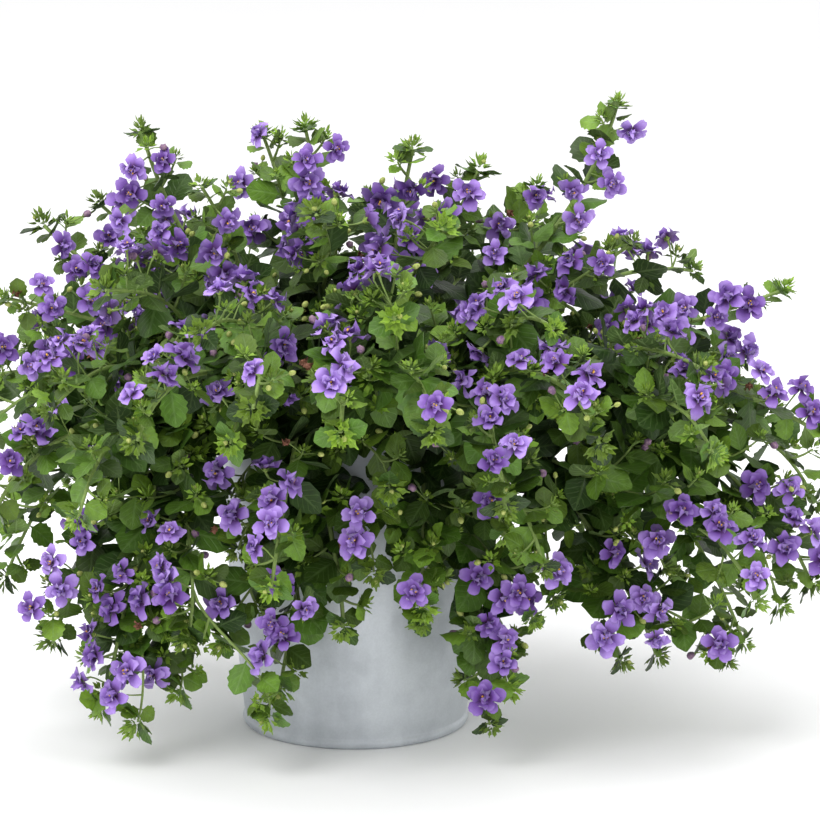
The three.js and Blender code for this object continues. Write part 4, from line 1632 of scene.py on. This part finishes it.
class Piece:
    """One finished object under construction: placed copies of small shapes in one mesh."""

    def __init__(self, name: str, finishes: Sequence[bpy.types.Material]) -> None:
        """Starts a piece with its list of materials."""
        self.name = name
        self.finishes = finishes
        self.bm = bmesh.new()

    def add(
        self, shape: bpy.types.Mesh, origin: np.ndarray, face: np.ndarray, along: np.ndarray, size: float,
        tone: float, age: float | None = None, width: float = 1.0,
    ) -> None:
        """Adds a copy of a shape, with its +Z to a face and its +X nearest to a direction.

        Args:
            shape: The shape.
            origin: Where its origin goes, in millimetres.
            face: Where its +Z points.
            along: Where its +X points, as far as the face lets it.
            size: Its size in millimetres.
            tone: Its own shade, from 0 to 1, which for a leaf deep in the plant is also lowered as painted
                shade.
            age: Its youth, or None to keep the shape's.
            width: Its breadth as a share of the usual.
        """
        x = square_to(face, along)
        y = cross(face, x)
        scale = size * MM
        columns = np.array((x * scale, y * scale * width, face * scale, origin * MM))
        append_copy(self.bm, shape, Matrix([*map(tuple, columns.T), (0, 0, 0, 1)]), tone, age)

    def finish(self, slot: str, *nodes: str) -> bpy.types.Object:
        """Makes the object, which rides on the one body.

        Args:
            slot: Not used.
            nodes: The CAD nodes that it replaces.

        Returns:
            The object.
        """
        mesh = kept(self.bm, self.name)
        indices = np.zeros(len(mesh.polygons), dtype=np.int32)
        mesh.polygons.foreach_get("material_index", indices)
        used = sorted(set(indices.tolist()))
        for index in used:
            mesh.materials.append(self.finishes[index])
        places = np.zeros(len(self.finishes), dtype=np.int32)
        places[used] = range(len(used))
        mesh.polygons.foreach_set("material_index", places[indices])
        return settled(mesh, slot, *nodes)


def in_scene(data: bpy.types.ID) -> bpy.types.Object:
    """Puts a mesh, a light or a camera in the scene, as an object of the same name."""
    thing = bpy.data.objects.new(data.name, data)
    bpy.context.scene.collection.objects.link(thing)
    return thing


def settled(mesh: bpy.types.Mesh, slot: str, *nodes: str) -> bpy.types.Object:
    """Puts a mesh in the scene as a piece of the object.

    Args:
        mesh: The finished mesh, in metres.
        slot: Not used.
        nodes: The CAD nodes that it replaces.

    Returns:
        The object.
    """
    piece = in_scene(mesh)
    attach(piece, "root")
    if nodes:
        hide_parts(*nodes)
    return piece


@dataclass
class StemWork:
    """Thin round stems, gathered as curves and turned into one mesh."""

    sides: int = 1
    lines: list[tuple[np.ndarray, np.ndarray]] = field(default_factory=list)

    def add(self, points: np.ndarray, radii: Sequence[float] | np.ndarray) -> None:
        """Adds a stem through some points, with a radius at each, in millimetres."""
        self.lines.append((np.asarray(points) * MM, np.asarray(radii) * MM))

    def mesh(self, name: str) -> bpy.types.Mesh:
        """Makes the closed tubes."""
        curve = bpy.data.curves.new(name, "CURVE")
        curve.dimensions = "3D"
        curve.bevel_depth = 1.0
        curve.bevel_resolution = self.sides
        curve.use_fill_caps = True
        for points, radii in self.lines:
            spline = curve.splines.new("POLY")
            spline.points.add(len(points) - 1)
            spline.points.foreach_set("co", np.hstack([points, np.ones((len(points), 1))]).ravel())
            spline.points.foreach_set("radius", radii.astype(float))
            spline.use_smooth = True
        holder = bpy.data.objects.new(name, curve)
        mesh = bpy.data.meshes.new_from_object(holder)
        bpy.data.objects.remove(holder)
        bpy.data.curves.remove(curve)
        mesh.polygons.foreach_set("material_index", [Skin.STEM.value] * len(mesh.polygons))
        return mesh


@dataclass
class Foliage:
    """The leafy stems: smooth shoots, leaf pairs, side twigs, rosettes, buds and the blooms' stalks.

    Sizes are in millimetres. The uppermost pair of leaves stands `pair_below_tip`. Leaves outside of
    `outer_depth` have fine teeth, and none stands less than `leaf_sight` in front of a bloom.
    """

    plant: Plant
    shapes: ShapeMaker
    finishes: Sequence[bpy.types.Material]
    pair_below_tip: float = 7.0
    pair_pitch: float = 11.0
    twig_pitch: float = 8.5
    ring_pitch: float = 7.0
    rosette: float = 8.6
    twig_rosette: float = 6.6
    young_stretch: float = 45.0
    twig_young_stretch: float = 22.0
    outer_depth: float = 0.84
    leaf_sight: float = 32.0
    purple_buds: float = 0.3
    withered: float = 0.1

    def build(self) -> None:
        """Builds one piece for each leafy stem."""
        for stem in STEMS:
            self._build_stem(stem)

    def _build_stem(self, stem: str) -> None:
        """Builds one leafy stem."""
        node = f"leafy_stem_{stem}"
        piece = Piece(f"{node}_dressed", self.finishes)
        work = StemWork()
        for shoot in self.plant.shoots:
            if shoot.stem == stem:
                self._dress_shoot(piece, work, shoot)
        for twig in self.plant.twigs:
            if twig.shoot.stem == stem:
                self._dress_twig(piece, work, twig)
        for spray in (*self.plant.sprays, *self.plant.fine_sprays):
            if spray.shoot.stem == stem:
                for bloom in spray.blooms:
                    self._stalk(work, spray.shoot.arc, bloom)
        tubes = work.mesh(f"{node}_tubes")
        piece.bm.from_mesh(tubes)
        bpy.data.meshes.remove(tubes)
        made = piece.finish("foliage", node)
        log.info("%s: %d faces", made.name, len(made.data.polygons))

    def _dress_shoot(self, piece: Piece, work: StemWork, shoot: Shoot) -> None:
        """Adds a shoot's stem, its pairs of leaves and the rosette at its tip."""
        rings = max(8, round(shoot.length / self.ring_pitch))
        radii = shoot.form.radius * np.linspace(1, shoot.form.taper, rings + 1)
        work.add(shoot.arc.places(rings), radii)
        at = shoot.length - self.pair_below_tip
        pair = 0
        while at > shoot.form.leaf_start:
            young = smoothstep(at, shoot.length - self.young_stretch, shoot.length)
            size = LEAF_LENGTH * (1.06 - 0.46 * young)
            radius = float(np.interp(at, (0, shoot.length), (radii[0], radii[-1]))) * 0.7
            picks = shoot.number * 100 + pair
            self._leaf_pair(piece, picks, pair, shoot.perch(at), size, young, radius)
            at -= self.pair_pitch * (0.85 + 0.3 * draw(shoot.number, pair, 71)) * (1 + 0.3 * young)
            pair += 1
        place, tangent = shoot.on_curve(shoot.length)
        self._rosette(piece, self.shapes.rosettes, shoot.number, place, tangent, self.rosette)

    def _leaf_pair(
        self, piece: Piece, number: int, pair: int, perch: Perch, size: float, young: float, radius: float
    ) -> None:
        """Adds two opposite leaves, a quarter turn from the pair before.

        Args:
            piece: The piece that they join.
            number: Picks their draws.
            pair: The pair's number on its shoot.
            perch: The middle of the stem there.
            size: The leaves' length.
            young: Their youth, from 0 to 1.
            radius: The stem's radius.
        """
        tangent, out = perch.tangent, perch.out
        for leaf in range(2):
            quarter = 90 * (pair % 2) + 180 * leaf + 45 + 40 * (draw(number, leaf, 7) - 0.5)
            radial = turned(out, tangent, quarter)
            lift = 0.42 + 0.3 * (draw(number, leaf, 72) - 0.5)
            axis = unit(0.86 * radial + lift * tangent + 0.1 * UP)
            way = 0.75 * UP + 0.6 * out + 0.35 * tangent + 0.5 * (draw(number, leaf, 73) - 0.5) * radial
            face = turned(square_to(axis, way), axis, 50 * (draw(number, leaf, 74) - 0.5))
            length = size * (0.78 + 0.42 * draw(number, leaf, 9))
            foot = perch.place + radial * radius
            middle, tip = foot + np.outer((0.5, 0.95), axis) * length
            if near_pot(tip, 2)[0] or self.plant.hides_bloom(np.array((middle, tip)), self.leaf_sight):
                continue
            depth = self.plant.canopy.share(foot)
            shapes = self.shapes.leaves if depth > self.outer_depth else self.shapes.plain_leaves
            shape = shapes[int(draw(number, leaf, 75) * (len(shapes) - 0.01))]
            # The random tone is pulled down towards 0 deep inside the plant, which gives the inner leaves
            # the darkest green and the least brightness: painted shade for the inside of the bush, on top of
            # the random tone.
            tone = draw(number, leaf, 76) * smoothstep(depth, 0.2, 0.9)
            age = 0.36 * young * (0.5 + draw(number, leaf, 77))
            piece.add(shape, foot, face, axis, length, tone, age, 0.88 + 0.26 * draw(number, leaf, 78))

    @staticmethod
    def _rosette(
        piece: Piece, shapes: Sequence[bpy.types.Mesh], number: int, place: np.ndarray, axis: np.ndarray,
        size: float,
    ) -> None:
        """Adds the rosette of bracts at the end of a shoot or twig, turned a little to the light."""
        axis = unit(axis + 0.75 * UP)
        turn = turned(square_to(axis, UP + np.array((0.3, 0.2, 0.0))), axis, 360 * draw(number, 1, 81))
        shape = shapes[number % len(shapes)]
        scale = size * (0.8 + 0.45 * draw(number, 2, 81))
        piece.add(shape, place - axis * 0.5, axis, turn, scale, draw(number, 3, 81))

    def _dress_twig(self, piece: Piece, work: StemWork, twig: Twig) -> None:
        """Adds a twig with its leaves, rosette and buds."""
        arc, number = twig.arc, twig.number
        work.add(arc.places(5), np.linspace(0.85, 0.5, 6))
        if twig.bloom:
            self._stalk(work, arc, twig.bloom)
        at = arc.length - 3.0
        pair = number % 2
        while at > 4.0:
            tangent = arc.tangent(at / arc.length)
            young = smoothstep(at, arc.length - self.twig_young_stretch, arc.length + 6)
            young = 1 - (1 - young) * (1 - 0.7 * twig.youth)
            size = LEAF_LENGTH * (1.02 - 0.48 * young) * (0.84 + 0.3 * draw(number, pair, 83))
            perch = Perch(arc.place(at), tangent, square_to(tangent, twig.out + 0.3 * UP))
            self._leaf_pair(piece, 7000 + number * 13 + pair, pair, perch, size, young, radius=0.5)
            at -= self.twig_pitch * (0.8 + 0.4 * draw(number, pair, 84))
            pair += 1
        end, axis = arc.place(arc.length), arc.tangent(1.0)
        self._rosette(piece, self.shapes.small_rosettes, number, end, axis, self.twig_rosette)
        self._twig_buds(piece, work, twig, end, axis)

    def _twig_buds(
        self, piece: Piece, work: StemWork, twig: Twig, end: np.ndarray, axis: np.ndarray
    ) -> None:
        """Adds the buds and spent blooms that a twig carries on thin stalks below its rosette."""
        number = twig.number
        choice = draw(number, 4, 85)
        for i in range(2 if choice < 0.12 else 1 if choice < 0.42 else 0):
            side = turned(square_to(axis, twig.out), axis, 120 * (i + draw(number, i, 86)))
            way = unit(side + 0.6 * axis)
            reach = 6.5 + 4.0 * draw(number, i, 87)
            foot = end - axis * 2.5
            head = foot + way * reach + UP * 1.0
            work.add(np.array((foot, (foot + head) / 2 + axis * 0.6, head)), (0.36, 0.3, 0.36))
            kind = draw(number, i, 88)
            shape, size, tone = self.shapes.bud, 3.2 + 1.4 * draw(number, i, 89), kind
            if kind < self.purple_buds:
                shape, size, tone = self.shapes.purple_bud, 5.2, 0.4 * kind
            elif kind < self.purple_buds + self.withered:
                shape, size, tone = self.shapes.withered, 4.6, 0.5
            piece.add(shape, head, way, side, size, tone)

    @staticmethod
    def _stalk(work: StemWork, arc: Arc, bloom: Bloom) -> None:
        """Adds the stalk of a bloom, which arches from its shoot's curve to the bloom's back."""
        steps = 60
        nearest = arc.places(steps)
        step = int(((nearest - bloom.foot) ** 2).sum(axis=1).argmin())
        foot = nearest[step]
        head = bloom.centre - bloom.face * (0.24 * bloom.size)
        leave = foot + unit(head - foot + arc.tangent(step / steps)) * 6
        stalk = Arc(foot, leave, head - bloom.face * 5, head)
        work.add(stalk.places(5), (0.55, 0.45, 0.42, 0.42, 0.5, 0.75))


@dataclass
class Sprays:
    """The sprays of blooms, and the single blooms between them."""

    plant: Plant
    shapes: ShapeMaker
    finishes: Sequence[bpy.types.Material]

    def build(self) -> None:
        """Builds one piece for each spray, and one for the single blooms of the front and of the back."""
        for number, spray in enumerate(self.plant.sprays, start=1):
            node = f"bloom_spray_{number:02d}"
            piece = Piece(f"{node}_dressed", self.finishes)
            for i, bloom in enumerate(spray.blooms):
                self._add(piece, bloom, 10 * number + i)
            piece.finish("petals", node)
        singles = [bloom for spray in self.plant.fine_sprays for bloom in spray.blooms]
        singles += [twig.bloom for twig in self.plant.twigs if twig.bloom]
        for name, side in (("single_blooms_front", -1), ("single_blooms_back", 1)):
            piece = Piece(name, self.finishes)
            for number, bloom in enumerate(singles):
                if side * bloom.centre[1] >= 0:
                    self._add(piece, bloom, 1000 + number)
            piece.finish("petals")
        log.info("sprays: %d, single blooms: %d", len(self.plant.sprays), len(singles))

    def _add(self, piece: Piece, bloom: Bloom, number: int) -> None:
        """Adds one bloom of its own form.

        Args:
            piece: The piece that it joins.
            bloom: The bloom.
            number: Picks its draws.
        """
        shape = self.shapes.blooms[int(draw(number, 0, 91) * (len(self.shapes.blooms) - 0.01))]
        piece.add(shape, bloom.centre, bloom.face, bloom.spin, bloom.size, draw(number, 4, 91))


@dataclass
class Pot:
    """The galvanised bucket: a flat base, a rolled foot bead, a tapered wall and a rolled rim."""

    wall: float = 1.1
    bead: float = 1.4
    bead_height: float = 5.0
    turns: int = 144
    bead_steps: int = 8

    def _profile(self) -> list[tuple[float, float]]:
        """The section from the axis, out under the base, up the wall, over the rim and back inside."""
        points = [(0.0, 0.9), (POT_BASE_RADIUS - 6, 0.9), (POT_BASE_RADIUS - 4, 0.0), (POT_BASE_RADIUS, 0.0)]
        half = self.bead_height / 2
        for step in range(1, self.bead_steps):
            angle = math.pi * (step / self.bead_steps - 0.5)
            points.append((POT_BASE_RADIUS + self.bead * math.cos(angle), half + half * math.sin(angle)))
        points.append((wall_radius(self.bead_height + 0.8) - 0.2, self.bead_height + 0.8))
        for height in (8, 20, 45, 80, 115, 145, 160, 167):
            points.append((wall_radius(height), height))
        middle = POT_HEIGHT - RIM_ROLL
        for step in range(9):
            angle = math.radians(-80 + 260 * step / 8)
            points.append((POT_TOP_RADIUS + RIM_ROLL * math.cos(angle), middle + RIM_ROLL * math.sin(angle)))
        inner = [(wall_radius(height) - self.wall, height) for height in (168, 150, 100, 50, self.wall)]
        return [*points, *inner, (0.0, self.wall)]

    def build(self, finish: bpy.types.Material) -> None:
        """Spins the section and replaces the plain pot."""
        mesh = spun("galvanised_pot", self._profile(), self.turns)
        mesh.materials.append(finish)
        settled(mesh, "galvanised_zinc", "pot")
        log.info("pot: %d faces", len(mesh.polygons))


def spun(name: str, profile: Sequence[tuple[float, float]], turns: int) -> bpy.types.Mesh:
    """A closed body turned about +Z.

    Args:
        name: The mesh's name.
        profile: Radius and height of each point, in millimetres, from the axis and back to it.
        turns: The number of steps round.

    Returns:
        The mesh, in metres.
    """
    bm = bmesh.new()
    verts = [bm.verts.new((r * MM, 0, z * MM)) for r, z in profile]
    edges = [bm.edges.new(pair) for pair in zip(verts, verts[1:])]
    bmesh.ops.spin(
        bm, geom=verts + edges, cent=(0, 0, 0), axis=(0, 0, 1), dvec=(0, 0, 0), angle=2 * math.pi,
        steps=turns, use_merge=True, use_duplicate=False,
    )
    bmesh.ops.remove_doubles(bm, verts=bm.verts[:], dist=1e-6)
    bmesh.ops.recalc_face_normals(bm, faces=bm.faces[:])
    for face in bm.faces:
        face.smooth = True
    return kept(bm, name)


@dataclass
class Soil:
    """The heaped potting soil, with crumbs of bark and a few white perlite grains.

    Sizes are in millimetres. The heap has `rings` steps from its edge to its middle, and every
    `perlite_every` crumb is a grain of perlite.
    """

    edge: float = 150.0
    gap: float = 1.4
    lump: float = 1.6
    rings: int = 26
    turns: int = 96
    crumbs: int = 170
    perlite_every: int = 4

    def build(self, finishes: Sequence[bpy.types.Material]) -> None:
        """Builds the soil and its crumbs, and replaces the plain plug.

        Args:
            finishes: The finishes of the soil, the bark and the perlite.
        """
        rim = wall_radius(self.edge) - self.gap
        foot = wall_radius(self.gap) - self.gap
        shares = [ring / self.rings for ring in range(1, self.rings + 1)]
        top = [(rim * (1 - share), self.edge + (SOIL_MIDDLE - self.edge) * share) for share in shares]
        mesh = spun("potting_soil", [(0.0, self.gap), (foot, self.gap), (rim, self.edge), *top], self.turns)
        bm = bmesh.new()
        bm.from_mesh(mesh)
        for vert in bm.verts:
            if vert.co.z > (self.edge - 1) * MM:
                vert.co.z += noise.noise(vert.co * 110) * self.lump * MM
        for number in range(self.crumbs):
            self._crumb(bm, number, rim)
        bm.to_mesh(mesh)
        bm.free()
        for finish in finishes:
            mesh.materials.append(finish)
        settled(mesh, "potting_soil", "soil")
        log.info("soil: %d faces", len(mesh.polygons))

    def _crumb(self, bm: bmesh.types.BMesh, number: int, rim: float) -> None:
        """Adds one half-sunk crumb of bark or grain of perlite."""
        angle = 2 * math.pi * draw(number, 0, 95)
        reach = (rim - 3) * math.sqrt(draw(number, 1, 95))
        height = SOIL_MIDDLE - (SOIL_MIDDLE - self.edge) * reach / rim
        size = (1.0 + 1.6 * draw(number, 2, 95)) * MM
        place = Matrix.Translation(Vector((reach * math.cos(angle), reach * math.sin(angle), height)) * MM)
        spin = Matrix.Rotation(6 * draw(number, 3, 95), 4, (0.4, 0.3, 0.86))
        flat = Matrix.Diagonal((size, size * (0.5 + draw(number, 4, 95)), size * 0.55, 1))
        made = bmesh.ops.create_icosphere(bm, subdivisions=1, radius=1.0, matrix=place @ spin @ flat)
        for face in {face for vert in made["verts"] for face in vert.link_faces}:
            face.material_index = 1 if number % self.perlite_every else 2


@dataclass
class Studio:
    """The plain pale floor, the soft lights and the camera, in metres, degrees and watts."""

    eye: tuple[float, float, float] = (0.0295, -2.0, 0.6)
    pitch: float = 12.1
    view_angle: float = 12.275
    floor_reach: float = 14.0
    floor_drop: float = 0.0002
    plant_middle: tuple[float, float, float] = (0.02, 0.0, 0.18)

    # Each soft light's name, place, size and power.
    SOFTBOXES = (
        ("key", (-0.9, -1.3, 1.9), 1.1, 26),
        ("fill", (1.7, -1.2, 1.1), 1.4, 6),
        ("top", (0.1, 0.3, 2.2), 1.4, 18),
    )

    def build(self) -> None:
        """Sets up everything around the object."""
        self._floor()
        self._sky()
        for name, place, size, power in self.SOFTBOXES:
            self._softbox(name, place, size, power)
        self._camera()

    def _floor(self) -> None:
        """Lays the floor just under the pot."""
        bm = bmesh.new()
        bmesh.ops.create_circle(bm, cap_ends=True, segments=96, radius=self.floor_reach)
        bmesh.ops.translate(bm, verts=bm.verts[:], vec=(0, 0, -self.floor_drop))
        mesh = kept(bm, "studio_floor")
        mesh.materials.append(FloorFinish().make())
        in_scene(mesh)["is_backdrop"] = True

    @staticmethod
    def _sky() -> None:
        """Sets a bright even sky."""
        world = bpy.data.worlds.new("studio")
        world.use_nodes = True
        sky = world.node_tree.nodes["Background"]
        sky.inputs["Color"].default_value = (1.0, 1.0, 1.0, 1.0)
        sky.inputs["Strength"].default_value = 1.0
        bpy.context.scene.world = world

    def _softbox(self, name: str, place: tuple[float, float, float], size: float, power: float) -> None:
        """Adds one square area light that looks at the middle of the plant."""
        light = bpy.data.lights.new(name, "AREA")
        light.shape = "SQUARE"
        light.size = size
        light.energy = power
        lamp = in_scene(light)
        lamp.location = place
        lamp.rotation_euler = (Vector(self.plant_middle) - Vector(place)).to_track_quat("-Z", "Y").to_euler()

    def _camera(self) -> None:
        """Puts the camera where the photograph was taken from."""
        data = bpy.data.cameras.new("photo_view")
        data.sensor_width = 36
        data.sensor_fit = "HORIZONTAL"
        data.lens = data.sensor_width / 2 / math.tan(math.radians(self.view_angle / 2))
        data.clip_end = 100
        camera = in_scene(data)
        camera.location = self.eye
        camera.rotation_euler = (math.radians(90 - self.pitch), 0, 0)
        bpy.context.scene.camera = camera


def main() -> None:
    """Builds the dressed plant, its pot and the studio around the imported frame."""
    logging.basicConfig(level=logging.INFO, format="%(message)s")
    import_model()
    cad_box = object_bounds()
    bpy.context.scene.view_settings.view_transform = "Standard"
    margin = Vector((0.004, 0.004, 0.004))
    plant = Plant((cad_box[0] - margin, cad_box[1] + margin), TwigHabit())
    log.info("shoots %d, sprays %d, twigs %d", len(plant.shoots), len(plant.sprays), len(plant.twigs))
    shapes = ShapeMaker()
    finishes = plant_finishes()
    Pot().build(ZincFinish().make())
    bark = SpeckledFinish("bark_crumb", srgb(84, 58, 38), srgb(48, 34, 24), 0.9).make()
    perlite = SpeckledFinish("perlite", srgb(206, 202, 192), srgb(176, 170, 158), 0.85).make()
    Soil().build((SoilFinish().make(), bark, perlite))
    Foliage(plant, shapes, finishes).build()
    Sprays(plant, shapes, finishes).build()
    Studio().build()
    total = sum(
        len(polygon.vertices) - 2
        for piece in bpy.context.scene.objects if piece.type == "MESH" and not piece.hide_render
        for polygon in piece.data.polygons
    )
    log.info("triangles: %d", total)
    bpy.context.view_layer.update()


if __name__ == "__main__":
    main()
